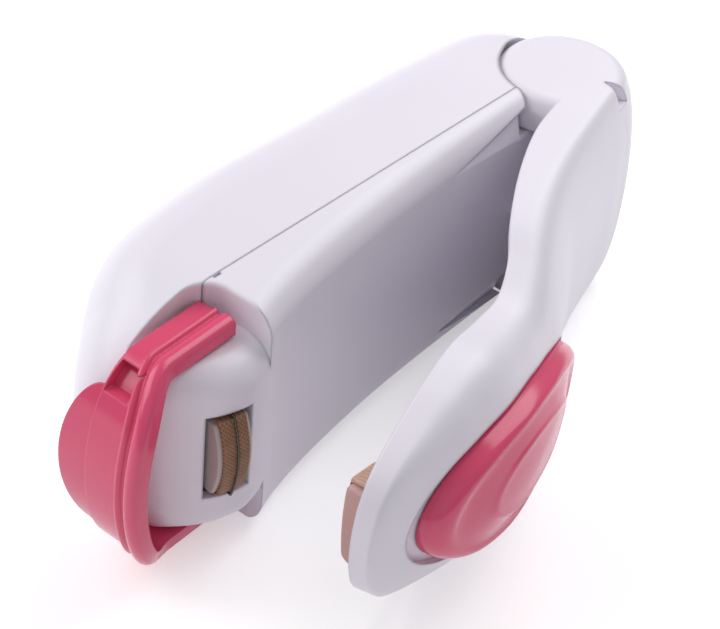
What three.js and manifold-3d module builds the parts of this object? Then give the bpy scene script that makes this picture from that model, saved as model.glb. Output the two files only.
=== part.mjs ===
// A pocket bag sealer, lying on its side with its lever and its lock open.
// Lengths are in millimetres. X runs from the nose to the hinge, Y from the lever
// to the battery cover, and Z across the width, along the hinge pin.
import * as THREE from 'three';
import { mergeVertices } from 'three/addons/utils/BufferGeometryUtils.js';
import Module from 'manifold-3d';

const wasm = await Module();
wasm.setup();

const runningGap = 0.3;
const cutOverrun = 1;

// Two AA cells, side by side, set the inner room of the body. A contact and a gap
// lie before and behind each cell, and a spring in the room that is left.
const cellRadius = 7.25;
const cellLength = 49.5;
const cellButtonRadius = 2.7;
const cellButtonLength = 1;
const cellGap = 0.4;
const cellSpringRoom = 2.5;
const contactThickness = 0.4;
const cellBayReach = 27.4;
const cellBayStart = -cellBayReach;
const cellBayLength = cellLength + cellButtonLength + cellSpringRoom + 2 * (4 * runningGap + contactThickness);
const bayEnd = cellBayStart + cellBayLength;

// Hinge, behind the cells: a knuckle on the case between two cheeks on the lever.
const hingeRoom = 12.7;
const hingeX = bayEnd + hingeRoom;
const hingeY = -0.4;
const cheekRadius = 7.7;
const barrelRise = 3.5;
const knuckleRadius = 7.7;
const knuckleHalfWidth = 12;
const coverArcGap = 0.9;
const seatWall = 0.9;
const pinRadius = 1.5;
const pinHalfLength = 15.6;

// Body: two half shells that meet on a flat parting plane.
const shellWall = 1.8;
const cellSideRoom = 1.2;
const halfWidth = 2 * cellRadius + cellSideRoom + shellWall;
const noseRoom = 18.6;
const noseReach = cellBayReach + noseRoom;
const tailRoom = 10.1;
const tailReach = hingeX + tailRoom;
const coverHeight = 22.3;
const caseDepth = 10.4;
const partingY = 0.8;
const seamGap = 0.3;
const coverCornerAcross = 12;
const coverCornerUp = 11;
const caseCorner = 4;
const noseRounding = 20;
const tailRounding = 14;
const tailFlatReach = tailReach - tailRounding;
const caseShoulderGap = 0.6;
const caseShoulderX = hingeX - knuckleRadius - caseShoulderGap;
const scoopLength = 29.5;
const scoopStartX = hingeX - scoopLength;
const scoopStartZ = 12;
const scoopEndZ = 16.2;
const scoopStartWidth = 1.5;
const scoopEndWidth = 5.5;
const scoopDepth = 2.2;
const pryNotchWidth = 2.4;
const pryNotchHeight = 1.2;
const pryNotchDepth = 2.2;

// Lever, in its own frame: the hinge pin is its origin and the tip points to -X.
const leverNoseRoom = 14.1;
const leverReach = hingeX + cellBayReach + leverNoseRoom;
const leverRoom = 12;
const leverDepth = caseDepth + leverRoom;
const leverWall = 1.8;
const leverOpenAngle = THREE.MathUtils.degToRad(13.3);
const leverTravelAngle = THREE.MathUtils.degToRad(11);
const leverClosedAngle = leverOpenAngle - leverTravelAngle;
const cheekNotchAngle = THREE.MathUtils.degToRad(-33);
const linerThickness = 1.5;
const linerLength = 41;
const linerHingeReach = leverReach - linerLength;
const linerScrewInsets = [31, 17];
const linerScrewReaches = linerScrewInsets.map((inset) => leverReach - inset);

// Thumb pad on the back of the lever.
const thumbPadInset = 27.1;
const thumbPadMiddleReach = leverReach - thumbPadInset;
const thumbPadHalfLength = 20.3;
const thumbPadHalfWidth = 8.9;
const thumbPadTipLip = 1.5;
const thumbPadRise = 2.2;
const thumbPadSink = 0.6;
const thumbPadLip = 0.5;

// Heater on the inner face of the case, near the nose.
const heaterRoom = 6.8;
const heaterX = -cellBayReach - heaterRoom;
const heaterTilt = THREE.MathUtils.degToRad(12);
const heaterWidth = 5;
const heaterLength = 11;
const heaterDepth = 6.5;
const heaterProud = 1.3;
const heaterCrownDrop = 0.8;
const bracketHeight = 3.06;
const clothThickness = 0.35;
const clothGap = 0.1;
const clothInset = 1.1;
const heaterWireRadius = 0.22;
const windowMargin = 0.7;
const windowEndMargin = 1.1;
const pressGap = 0.15;
const pressPadWidth = 6.2;
const pressPadLength = 11.6;
const pressPadShift = 0.8;

// Lock clip: a U band that swings on two bosses.
const lockInset = 14.5;
const lockX = lockInset - noseReach;
const lockY = -2.5;
const lockNoseRoom = 3.1;
const lockReach = lockInset + lockNoseRoom;
const lockHalfWidth = 15;
const lockWall = 1.7;
const lockArmReach = 8.5;
const lockBendX = lockX - lockArmReach;
const lockArmTail = 2.3;
const lockArmTop = 3.3;
const lockArmBottom = 2.9;
const lockFrontDrop = 2.8;
const lockRibHeight = 0.7;
const lockRibWidth = 2.5;
const lockBeadHeight = 0.5;
const lockBeadWidth = 1.1;
const lockGroove = 0.3;
const lockRimHeight = 0.15;
const lockGap = 0.4;
const visorRise = 4.7;
const visorHalfWidth = 12;
const visorStep = 0.5;
const visorFlare = 0.2;
const lockBossRadius = 1.4;
const lockBossLength = 1.5;
const lockSlotLow = 11.4;
const lockSlotHigh = 14.3;
const lockSlotDrop = 0.5;
const lockSlotHeight = 3.8;
const recessDepth = halfWidth - lockHalfWidth + lockWall + lockGap;
const recessRadius = Math.hypot(lockArmTail, lockArmTop) + 2 * lockGap;
const recessWall = 1.2;
const recessEdge = 1.4;

// Battery compartment.
const cellY = 9.4;
const trayFloor = 1;
const trayWall = 1.2;
const traySideHeight = 4;
const trayEndHeight = 13;
const trayClearance = 0.4;
const contactHalfHeight = 3;
const springWireRadius = 0.3;
const cellSpringRadius = 2.9;
const cellSpringCurls = 2;
const trayScrewNoseInset = 11.4;
const trayScrewMiddleShift = 2.3;
const trayScrewTailInset = 9.8;
const trayScrewPlaces = [
  cellBayStart + trayScrewNoseInset,
  (cellBayStart + bayEnd) / 2 + trayScrewMiddleShift,
  bayEnd - trayScrewTailInset,
];
const screwHeadRadius = 1.9;
const screwHeadHeight = 0.9;
const screwShankRadius = 0.9;
const screwShankLength = 3.2;
const screwHoleGap = 0.3;
const bossRadius = 2.3;

// Switch under the lever, near the hinge.
const plungerRoom = 2.4;
const plungerX = bayEnd + plungerRoom;
const plungerRadius = 1.4;
const plungerFlangeRadius = 2.2;
const plungerFlangeHeight = 0.8;
const plungerBottomY = -4.5;
const plungerTopY = 0.9;
const contactSpan = 9;
const contactWidth = 1.8;

// Leads and the return spring.
const leadRadius = 0.42;
const leadLaneZ = 0.8;
const leadLaneY = 4.1;
const returnSpringRadius = 2.6;
const returnSpringWire = 0.4;
const returnSpringCurls = 4;
const returnSpringPitch = 1.5;
const springPocketHalfWidth = 5;

// Heights of the body's side view, as shares of its reach and of its height or depth.
const coverTopShares = [
  [-1, 0.08],
  [-0.982, 0.25],
  [-0.921, 0.4],
  [-0.818, 0.585],
  [-0.684, 0.785],
  [-0.553, 0.905],
  [-0.415, 0.96],
  [-0.195, 1],
  [0.006, 0.995],
  [0.2, 0.98],
  [0.4, 0.97],
  [0.583, 0.955],
  [0.76, 0.925],
  [0.9, 0.85],
  [0.96, 0.77],
  [0.985, 0.67],
  [1, 0.5],
];
const caseFaceShares = [
  [-0.985, 0.07],
  [-0.95, 0.19],
  [-0.889, 0.5],
  [-0.797, 0.84],
  [-0.696, 1],
  [-0.63, 0.97],
  [-0.522, 0.81],
  [-0.392, 0.67],
  [-0.217, 0.54],
  [0, 0.42],
  [0.2, 0.34],
  [0.4, 0.28],
  [0.6, 0.24],
  [0.78, 0.22],
];

// Lever: reach, inner rim, side edge and crown as shares, then half width as a share.
const leverShares = [
  [0.04, 0.12, 0.34, 0.522, 1],
  [0.102, 0.13, 0.35, 0.536, 1],
  [0.19, 0.143, 0.36, 0.576, 1],
  [0.301, 0.23, 0.4, 0.652, 0.99],
  [0.404, 0.353, 0.47, 0.768, 0.93],
  [0.476, 0.473, 0.57, 0.857, 0.82],
  [0.548, 0.54, 0.64, 0.933, 0.735],
  [0.62, 0.54, 0.67, 0.987, 0.765],
  [0.717, 0.54, 0.68, 1, 0.85],
  [0.801, 0.54, 0.67, 0.96, 0.8],
  [0.86, 0.54, 0.67, 0.893, 0.72],
  [0.92, 0.54, 0.665, 0.804, 0.62],
  [0.96, 0.54, 0.66, 0.741, 0.51],
  [0.985, 0.54, 0.65, 0.696, 0.35],
  [0.996, 0.54, 0.645, 0.67, 0.19],
  [1, 0.54, 0.64, 0.656, 0.07],
];
const rimFlatShare = 0.54;
const hollowEndShare = 0.985;
const thumbPadTaperShare = -0.2;
const cornerWidthShare = 0.8;
const cornerHeightShare = 0.85;
const tailEndShare = 0.87;
const leastWidthShare = 0.05;
const lockSlopeShare = 0.04;
const lockEdgeShare = 0.25;
const crownPower = 2.2;
const edgePower = 2;
const nosePower = 2.2;
const lockPower = 2.1;

// Thumb pad: place between its middle and its edge, then how far it stands up.
const thumbPadShares = [
  [1, 0.1],
  [0.985, 0.5],
  [0.945, 0.85],
  [0.87, 1],
  [0.66, 1],
  [0.6, 1.15],
  [0.3, 1],
  [0.05, 0.95],
];

// Rounding and step counts of the curved surfaces.
const cornerSteps = 5;
const crownSteps = 8;
const roundSegments = 20;
const smallSegments = 12;
const wireSides = 8;
const thinWireSides = 6;
const coilSides = 5;
const curlSteps = 8;
const lockSteps = 22;

// Materials, one made for each mesh.
const finishes = {
  shell: { color: 0xe9e3ef, roughness: 0.35, metalness: 0 },
  pink: { color: 0xd9607f, roughness: 0.3, metalness: 0 },
  liner: { color: 0xd8d2dd, roughness: 0.5, metalness: 0 },
  silicone: { color: 0xc9a096, roughness: 0.7, metalness: 0 },
  cloth: { color: 0xa07a52, roughness: 0.85, metalness: 0 },
  ceramic: { color: 0xd8d4d0, roughness: 0.6, metalness: 0 },
  steel: { color: 0xb8b9bd, roughness: 0.3, metalness: 1 },
  brass: { color: 0xc8a24e, roughness: 0.35, metalness: 1 },
  cell: { color: 0x4a6a50, roughness: 0.4, metalness: 0.3 },
  black: { color: 0x2c2c30, roughness: 0.6, metalness: 0 },
  red: { color: 0xa02a2a, roughness: 0.5, metalness: 0 },
};

// A closed geometry as a solid for joining and cutting, with its faces pointing out.
function solid(geometry) {
  const bare = geometry.clone();
  bare.deleteAttribute('normal');
  bare.deleteAttribute('uv');
  const merged = mergeVertices(bare, 1e-5);
  const vertProperties = new Float32Array(merged.attributes.position.array);
  const corners = Array.from(merged.index.array);
  const facingOut = signedVolume(vertProperties, corners) < 0 ? flipped(corners) : corners;
  const triVerts = new Uint32Array(facingOut);
  return new wasm.Manifold(new wasm.Mesh({ numProp: 3, vertProperties, triVerts }));
}

function signedVolume(positions, index) {
  const corner = (place) => new THREE.Vector3().fromArray(positions, 3 * index[place]);
  let volume = 0;
  for (let place = 0; place < index.length; place += 3) {
    volume += corner(place).dot(corner(place + 1).cross(corner(place + 2))) / 6;
  }
  return volume;
}

function flipped(index) {
  const turnedRound = [];
  for (let place = 0; place < index.length; place += 3) {
    turnedRound.push(index[place], index[place + 2], index[place + 1]);
  }
  return turnedRound;
}

// A solid back as a geometry.
function geometryOf(body) {
  const mesh = body.getMesh();
  const geometry = new THREE.BufferGeometry();
  geometry.setAttribute('position', new THREE.BufferAttribute(new Float32Array(mesh.vertProperties), 3));
  geometry.setIndex(new THREE.BufferAttribute(new Uint32Array(mesh.triVerts), 1));
  geometry.computeVertexNormals();
  return geometry;
}

function join(bodies) {
  return bodies.reduce((whole, body) => whole.add(body));
}

function cut(body, cutters) {
  return cutters.reduce((rest, cutter) => rest.subtract(cutter), body);
}

// A box between two corners.
function boxBetween(low, high) {
  const size = high.map((value, axis) => value - low[axis]);
  const geometry = new THREE.BoxGeometry(size[0], size[1], size[2]);
  geometry.translate((low[0] + high[0]) / 2, (low[1] + high[1]) / 2, (low[2] + high[2]) / 2);
  return solid(geometry);
}

// A rod along one axis, 'x', 'y' or 'z', from start to end at the other two places.
function rod(axis, radius, start, end, first, second, segments = roundSegments) {
  const geometry = new THREE.CylinderGeometry(radius, radius, Math.abs(end - start), segments);
  const middle = (start + end) / 2;
  if (axis === 'x') {
    geometry.rotateZ(Math.PI / 2).translate(middle, first, second);
  } else if (axis === 'y') {
    geometry.translate(first, middle, second);
  } else {
    geometry.rotateX(Math.PI / 2).translate(first, second, middle);
  }
  return solid(geometry);
}

// A prism along Z over an outline of [x, y] points.
function prism(outline, lowZ, highZ) {
  const shape = new THREE.Shape(outline.map(([x, y]) => new THREE.Vector2(x, y)));
  const geometry = new THREE.ExtrudeGeometry(shape, { depth: highZ - lowZ, bevelEnabled: false });
  geometry.translate(0, 0, lowZ);
  return solid(geometry);
}

// A round body about the Z axis through [x, y], from [radius, z] points on and off the axis.
function turned(profile, x, y) {
  const points = profile.map(([radius, z]) => new THREE.Vector2(radius, z));
  const geometry = new THREE.LatheGeometry(points, 2 * roundSegments);
  geometry.rotateX(Math.PI / 2).translate(x, y, 0);
  return solid(geometry);
}

// Triangles that close a ring, each with its corners in the ring's own order.
function capOf(ring) {
  const normal = new THREE.Vector3();
  ring.forEach((point, step) => normal.add(point.clone().cross(ring[(step + 1) % ring.length])));
  const sizes = normal.toArray().map(Math.abs);
  const across = sizes.indexOf(Math.max(...sizes));
  const flat = ring.map((point) => {
    const [first, second] = point.toArray().filter((_, axis) => axis !== across);
    return new THREE.Vector2(first, second);
  });
  return THREE.ShapeUtils.triangulateShape(flat, []).map((face) => face.sort((one, other) => one - other));
}

// A skin over rings of equal point count, closed at each end.
function loft(rings) {
  const count = rings[0].length;
  const positions = rings.flat().flatMap((point) => [point.x, point.y, point.z]);
  const index = [];
  for (let ring = 0; ring < rings.length - 1; ring += 1) {
    for (let step = 0; step < count; step += 1) {
      const next = (step + 1) % count;
      const here = ring * count;
      const there = here + count;
      index.push(here + step, here + next, there + next, here + step, there + next, there + step);
    }
  }
  const last = (rings.length - 1) * count;
  capOf(rings[0]).forEach(([one, two, three]) => index.push(one, three, two));
  capOf(rings[rings.length - 1]).forEach((face) => index.push(...face.map((corner) => last + corner)));
  const geometry = new THREE.BufferGeometry();
  geometry.setAttribute('position', new THREE.BufferAttribute(new Float32Array(positions), 3));
  geometry.setIndex(index);
  return solid(geometry);
}

// A round wire along a smooth curve.
function wire(points, radius, steps, sides = wireSides) {
  const section = new THREE.Shape();
  for (let side = 0; side < sides; side += 1) {
    const turn = (2 * Math.PI * side) / sides;
    const x = radius * Math.cos(turn);
    const y = radius * Math.sin(turn);
    if (side === 0) {
      section.moveTo(x, y);
    } else {
      section.lineTo(x, y);
    }
  }
  const extrudePath = new THREE.CatmullRomCurve3(points, false, 'centripetal');
  return new THREE.ExtrudeGeometry(section, { steps, extrudePath });
}

// Smooth values between the rows of a table that is sorted by its first column.
function between(table, place) {
  const last = table.length - 1;
  const clamped = Math.min(Math.max(place, table[0][0]), table[last][0]);
  const row = Math.min(table.findIndex((entry) => clamped <= entry[0]), last);
  const high = Math.max(row, 1);
  const low = high - 1;
  const span = table[high][0] - table[low][0];
  const t = (clamped - table[low][0]) / span;
  const slope = (middle, column) => {
    const before = table[Math.max(middle - 1, 0)];
    const after = table[Math.min(middle + 1, last)];
    return (after[column] - before[column]) / (after[0] - before[0]);
  };
  return table[low].slice(1).map((from, offset) => {
    const column = offset + 1;
    const to = table[high][column];
    const start = slope(low, column) * span;
    const end = slope(high, column) * span;
    const square = t * t;
    const cube = square * t;
    return (
      (2 * cube - 3 * square + 1) * from +
      (cube - 2 * square + t) * start +
      (3 * square - 2 * cube) * to +
      (cube - square) * end
    );
  });
}

function bodyX(share) {
  return share < 0 ? share * noseReach : share * tailReach;
}

function bodyShare(x) {
  return x < 0 ? x / noseReach : x / tailReach;
}

function coverTop(x) {
  return coverHeight * between(coverTopShares, bodyShare(x))[0];
}

function caseFace(x) {
  return -caseDepth * between(caseFaceShares, bodyShare(x))[0];
}

// Half width of the body in plan, rounded at the nose and drawn in at the tail.
function bodyHalfWidth(x) {
  const noseShare = (noseRounding - noseReach - x) / noseRounding;
  const tailShare = (x - tailFlatReach) / tailRounding;
  const share = Math.max(noseShare, tailShare, 0);
  const end = noseShare > tailShare ? 1 : tailEndShare;
  const rest = Math.max(1 - (share * end) ** nosePower, 0);
  return halfWidth * Math.max(rest ** (1 / nosePower), leastWidthShare);
}

// Half of a rounded section, from the parting plane to the far side and back.
function shellRing(x, across, level, corner, cornerUp, base) {
  const direction = Math.sign(level - base);
  const cornerZ = Math.min(corner, across * cornerWidthShare);
  const cornerY = Math.min(cornerUp, Math.abs(level - base) * cornerHeightShare);
  const ring = [new THREE.Vector3(x, base, across)];
  for (const side of [1, -1]) {
    for (let step = 0; step <= cornerSteps; step += 1) {
      const turn = ((side > 0 ? step : cornerSteps - step) * Math.PI) / 2 / cornerSteps;
      const z = side * (across - cornerZ + cornerZ * Math.cos(turn));
      const y = level - direction * cornerY * (1 - Math.sin(turn));
      ring.push(new THREE.Vector3(x, y, z));
    }
  }
  ring.push(new THREE.Vector3(x, base, -across));
  return ring;
}

// Stations along the body from the rows of a side-view table, with the long steps halved.
function stations(table, startX, endX) {
  const places = table.map((row) => bodyX(row[0])).filter((x) => x > startX && x < endX);
  const marks = [startX, ...places, endX];
  const filled = [startX];
  for (let mark = 1; mark < marks.length; mark += 1) {
    filled.push((marks[mark - 1] + marks[mark]) / 2, marks[mark]);
  }
  return filled;
}

function coverLoft(inset, base) {
  const start = bodyX(coverTopShares[0][0]) + inset;
  const end = tailReach - inset;
  const rings = stations(coverTopShares, start, end).map((x) =>
    shellRing(
      x,
      bodyHalfWidth(x) - inset,
      coverTop(x) - inset,
      coverCornerAcross - inset,
      coverCornerUp - inset,
      base,
    ),
  );
  return loft(rings);
}

function caseLoft(inset, base, widest = halfWidth) {
  const start = bodyX(caseFaceShares[0][0]) + inset;
  const end = caseShoulderX - inset;
  const rings = stations(caseFaceShares, start, end).map((x) => {
    const across = Math.min(bodyHalfWidth(x), widest) - inset;
    return shellRing(x, across, caseFace(x) + inset, caseCorner, caseCorner, base);
  });
  return loft(rings);
}

// Outer radius of the hinge barrel, which swells to the middle of its width.
function barrelRadius(z, extra) {
  return cheekRadius + extra + barrelRise * (1 - (Math.abs(z) / halfWidth) ** crownPower);
}

function barrel(lowZ, highZ, extra) {
  const profile = [[0, lowZ]];
  for (let step = 0; step <= crownSteps; step += 1) {
    const z = lowZ + ((highZ - lowZ) * step) / crownSteps;
    profile.push([barrelRadius(Math.min(Math.abs(z), halfWidth), extra), z]);
  }
  profile.push([0, highZ]);
  return profile;
}

// Outline of the space beside the nose: round about the lock's pivot and open to the front.
function recessOutline(offset) {
  const radius = recessRadius + offset;
  const front = -noseReach - cutOverrun;
  const outline = [[front, -2 * caseDepth], [front, lockY + radius]];
  for (let step = 0; step <= crownSteps; step += 1) {
    const turn = (Math.PI * (crownSteps - step)) / 2 / crownSteps;
    outline.push([lockX + radius * Math.cos(turn), lockY + radius * Math.sin(turn)]);
  }
  outline.push([lockX + radius, -2 * caseDepth]);
  return outline;
}

// Space beside the nose for an arm of the lock clip, on the side named by its sign, with a
// rounded outer edge. The nose between both spaces keeps its own rounded corners.
// An extra makes the larger space that the inside of the body keeps clear of.
function lockRecess(side, extra = 0) {
  const floor = halfWidth - recessDepth;
  const levels = [[floor - caseCorner - extra, extra]];
  for (let step = 0; step <= cornerSteps; step += 1) {
    const share = step / cornerSteps;
    const offset = extra + recessEdge * (1 - Math.sqrt(1 - share * share));
    levels.push([halfWidth - recessEdge * (1 - share), offset]);
  }
  levels.push([halfWidth + cutOverrun, extra + recessEdge]);
  const rings = levels.map(([z, offset]) =>
    recessOutline(offset).map(([x, y]) => new THREE.Vector3(x, y, side * z)),
  );
  const noseTop = lockY + recessRadius + recessEdge + extra + cutOverrun;
  return loft(rings).subtract(caseLoft(extra, noseTop, floor));
}

const heaterY = caseFace(heaterX);

// A box in the heater's frame: across the face, along the normal (out is -Y), and along Z.
function heaterBox(halfAcross, inner, outer, halfLong, shift = 0) {
  const geometry = new THREE.BoxGeometry(2 * halfAcross, outer + inner, 2 * halfLong);
  geometry.translate(shift, (inner - outer) / 2, 0);
  return solid(geometry);
}

function inBody(body) {
  const matrix = new THREE.Matrix4().makeRotationZ(-heaterTilt);
  matrix.setPosition(heaterX, heaterY, 0);
  return body.transform(matrix.toArray());
}

function makeMainCase() {
  const outer = caseLoft(0, partingY);
  const hollow = caseLoft(shellWall, partingY + cutOverrun);
  const inner = cut(hollow, [lockRecess(1, recessWall), lockRecess(-1, recessWall)]);
  const knuckle = rod('z', knuckleRadius, -knuckleHalfWidth, knuckleHalfWidth, hingeX, hingeY);
  const tongue = boxBetween(
    [caseShoulderX - shellWall, caseFace(caseShoulderX), -knuckleHalfWidth],
    [hingeX, partingY, knuckleHalfWidth],
  );
  const bosses = trayScrewPlaces.map((x) =>
    rod('y', bossRadius, caseFace(x) + shellWall / 2, partingY - seamGap, x, 0),
  );
  const sockets = [1, -1].map((side) => {
    const face = side * (halfWidth - recessDepth);
    const root = side * (halfWidth - recessDepth - lockBossLength - shellWall);
    return rod('z', lockBossRadius + shellWall, root, face, lockX, lockY);
  });
  const whole = join([outer.subtract(inner), knuckle, tongue, ...bosses, ...sockets]);
  const boreRadius = pinRadius + runningGap;
  const screwBores = trayScrewPlaces.map((x) =>
    rod('y', screwShankRadius + screwHoleGap, caseFace(x) + shellWall / 2, partingY + cutOverrun, x, 0),
  );
  const socketBores = [1, -1].map((side) => {
    const mouth = side * halfWidth;
    const end = side * (halfWidth - recessDepth - lockBossLength - runningGap);
    return rod('z', lockBossRadius + runningGap, end, mouth, lockX, lockY);
  });
  const windowHalf = heaterWidth / 2 + windowMargin;
  const window = inBody(
    heaterBox(windowHalf, heaterDepth, heaterProud + cutOverrun, heaterLength / 2 + windowEndMargin),
  );
  const springPocketTop = hingeY + returnSpringRadius + 2 * returnSpringWire;
  const springPocket = boxBetween(
    [hingeX - knuckleRadius, hingeY - knuckleRadius - cutOverrun, -springPocketHalfWidth],
    [hingeX + knuckleRadius - shellWall, springPocketTop, springPocketHalfWidth],
  );
  const flangeSeat = rod('y', plungerFlangeRadius + runningGap, caseFace(plungerX) + shellWall,
    partingY + cutOverrun, plungerX, 0);
  const pryNotches = [1, -1].map((side) => {
    const inner = side * (halfWidth - pryNotchDepth);
    const outer = side * (halfWidth + cutOverrun);
    const end = lockX + recessRadius + pryNotchWidth;
    return boxBetween(
      [end - 2 * pryNotchWidth, partingY - pryNotchHeight, Math.min(inner, outer)],
      [end, partingY + cutOverrun, Math.max(inner, outer)],
    );
  });
  return cut(whole, [
    lockRecess(1),
    lockRecess(-1),
    ...cheekSeats(),
    ...pryNotches,
    flangeSeat,
    scoop(1),
    scoop(-1),
    rod('z', boreRadius, -halfWidth, halfWidth, hingeX, hingeY),
    rod('y', plungerRadius + runningGap, caseFace(plungerX) - cutOverrun, partingY, plungerX, 0),
    window,
    springPocket,
    ...screwBores,
    ...socketBores,
  ]);
}

// A shallow wedge in the case's face that deepens to the hinge, steep on its outer side.
function scoop(side) {
  const section = (x, faceY, outerZ, width, depth) => [
    new THREE.Vector3(x, faceY - cutOverrun, side * outerZ),
    new THREE.Vector3(x, faceY + depth, side * outerZ),
    new THREE.Vector3(x, faceY - cutOverrun, side * (outerZ - width)),
  ];
  const start = section(scoopStartX, caseFace(scoopStartX), scoopStartZ, scoopStartWidth, 0);
  const end = section(hingeX, caseFace(caseShoulderX), scoopEndZ, scoopEndWidth + cutOverrun, scoopDepth);
  return loft([start, end]);
}

// Space about the hinge for the cheeks of the lever, on both sides of the knuckle.
// An extra makes the larger space that the inside of the cover keeps clear of.
function cheekSeats(extra = 0) {
  const wide = halfWidth + cutOverrun;
  return [1, -1].map((side) => {
    const low = side > 0 ? knuckleHalfWidth + extra : -wide;
    const high = side > 0 ? wide : -knuckleHalfWidth - extra;
    return turned(barrel(low, high, coverArcGap + extra), hingeX, hingeY);
  });
}


function makeBatteryCover() {
  const base = partingY + seamGap;
  const hollow = coverLoft(shellWall, base - cutOverrun);
  const inner = cut(hollow, [lockRecess(1, recessWall), lockRecess(-1, recessWall), ...cheekSeats(seatWall)]);
  const shell = coverLoft(0, base).subtract(inner);
  const wide = halfWidth + cutOverrun;
  const knuckleSeat = rod('z', knuckleRadius + coverArcGap, -wide, wide, hingeX, hingeY, 2 * roundSegments);
  return cut(shell, [knuckleSeat, ...cheekSeats(), lockRecess(1), lockRecess(-1)]);
}

function leverSection(share) {
  const [rim, edge, crown, width] = between(leverShares, share);
  return {
    x: -share * leverReach,
    rim: -rim * leverDepth,
    edge: -edge * leverDepth,
    crown: -crown * leverDepth,
    width: Math.min(width, 1) * halfWidth,
  };
}

// How far a section drops from its crown to its side edge, by its place across.
function crownDrop(across) {
  return 1 - Math.max(1 - Math.abs(across) ** crownPower, 0) ** (1 / edgePower);
}

// The lever as a solid, drawn in by an inset, with its inner side at its rim or at a level.
function leverLoft(startShare, endShare, inset, innerLevel) {
  const shares = leverShares.map((row) => row[0]).filter((share) => share > startShare && share < endShare);
  const marks = [startShare, ...shares, endShare];
  const filled = marks.flatMap((mark, place) => (place ? [(marks[place - 1] + mark) / 2, mark] : [mark]));
  const rings = filled.map((share) => {
    const section = leverSection(share);
    const width = Math.max(section.width - inset, leastWidthShare * inset);
    const inner = innerLevel ?? section.rim;
    const ring = [new THREE.Vector3(section.x, inner, width)];
    for (let step = 0; step <= crownSteps; step += 1) {
      const across = Math.cos((Math.PI * step) / crownSteps);
      const rise = (section.edge - section.crown) * crownDrop(across);
      ring.push(new THREE.Vector3(section.x, section.crown + rise + inset, across * width));
    }
    ring.push(new THREE.Vector3(section.x, inner, -width));
    return ring;
  });
  return loft(rings);
}

// Outline of the thumb pad in plan: an oval that is drawn out to the hinge end.
function thumbPadOutline(extra, tipExtra = 0) {
  const outline = [];
  const count = 2 * roundSegments;
  for (let step = 0; step < count; step += 1) {
    const turn = (2 * Math.PI * step) / count;
    const along = Math.cos(turn);
    const taper = 1 + thumbPadTaperShare * along;
    const reach = thumbPadHalfLength + extra + (along < 0 ? tipExtra : 0);
    const x = -thumbPadMiddleReach + reach * along;
    outline.push([x, (thumbPadHalfWidth + extra) * taper * Math.sin(turn)]);
  }
  return outline;
}

// A prism through the lever over the thumb pad's outline.
function padPrism(extra, tipExtra) {
  const shape = new THREE.Shape(thumbPadOutline(extra, tipExtra).map(([x, z]) => new THREE.Vector2(x, z)));
  const geometry = new THREE.ExtrudeGeometry(shape, { depth: 2 * leverDepth, bevelEnabled: false });
  geometry.rotateX(Math.PI / 2);
  return solid(geometry);
}

function makeLeverShell() {
  const startShare = leverShares[0][0];
  const body = leverLoft(startShare, 1, 0);
  const cheekStart = knuckleHalfWidth + runningGap;
  const cheeks = [1, -1].map((side) => {
    const low = side > 0 ? cheekStart : -halfWidth;
    const high = side > 0 ? halfWidth : -cheekStart;
    return turned(barrel(low, high, 0), 0, 0);
  });
  const reach = 2 * cheekRadius;
  const skinSector = prism(
    [
      [0, 0],
      [-cheekRadius, 0],
      [-cheekRadius, -reach],
      [reach, -reach],
      [reach * Math.cos(cheekNotchAngle), reach * Math.sin(cheekNotchAngle)],
    ],
    -halfWidth,
    halfWidth,
  );
  const skin = turned(barrel(-halfWidth, halfWidth, 0), 0, 0).intersect(skinSector);
  const hollow = leverLoft(startShare, hollowEndShare, leverWall, cheekRadius);
  const cheekBlocks = [1, -1].map((side) => {
    const low = side > 0 ? cheekStart : -halfWidth;
    const high = side > 0 ? halfWidth : -cheekStart;
    return boxBetween([-cheekRadius - leverWall, -leverDepth, low], [cheekRadius, cheekRadius, high]);
  });
  const cavity = cut(hollow, cheekBlocks);
  const screwBosses = linerScrewReaches.map((place) =>
    rod('y', bossRadius, -leverDepth, -rimFlatShare * leverDepth - linerThickness - 2 * runningGap, -place, 0)
      .intersect(leverLoft(startShare, 1, leverWall / 2)),
  );
  const nubTop = plungerNubTop();
  const nub = rod('y', plungerRadius, -leverDepth, nubTop.y, nubTop.x, 0)
    .intersect(leverLoft(startShare, 1, leverWall / 2, 0));
  const seatFloor = leverLoft(startShare, 1, thumbPadSink + runningGap, cheekRadius);
  const padSeat = padPrism(thumbPadLip, thumbPadTipLip).subtract(seatFloor);
  const knuckleSpace = rod('z', knuckleRadius + runningGap, -cheekStart, cheekStart, 0, 0, 2 * roundSegments);
  const boreEnd = pinHalfLength + runningGap;
  const screwBores = linerScrewReaches.map((place) =>
    rod('y', screwShankRadius + screwHoleGap, -rimFlatShare * leverDepth - screwShankLength - linerThickness,
      0, -place, 0),
  );
  return cut(join([join([body, ...cheeks, skin]).subtract(cavity), nub, ...screwBosses]), [
    padSeat,
    knuckleSpace,
    rod('z', pinRadius + runningGap, -boreEnd, boreEnd, 0, 0),
    ...screwBores,
  ]);
}

// Level of the lever's back at a place in plan.
function leverBack(x, z) {
  const section = leverSection(-x / leverReach);
  return section.crown + (section.edge - section.crown) * crownDrop(z / section.width);
}

function makeThumbPad() {
  const outline = thumbPadOutline(0);
  const ring = (share, rise) => outline.map(([x, z]) => {
    const placeX = -thumbPadMiddleReach + share * (x + thumbPadMiddleReach);
    return new THREE.Vector3(placeX, leverBack(placeX, share * z) - rise, share * z);
  });
  const root = ring(1, -leverWall);
  const rings = thumbPadShares.map(([share, rise]) => ring(share, rise * thumbPadRise));
  const seat = leverLoft(leverShares[0][0], 1, thumbPadSink, cheekRadius);
  return loft([root, ...rings]).subtract(seat);
}

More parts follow.
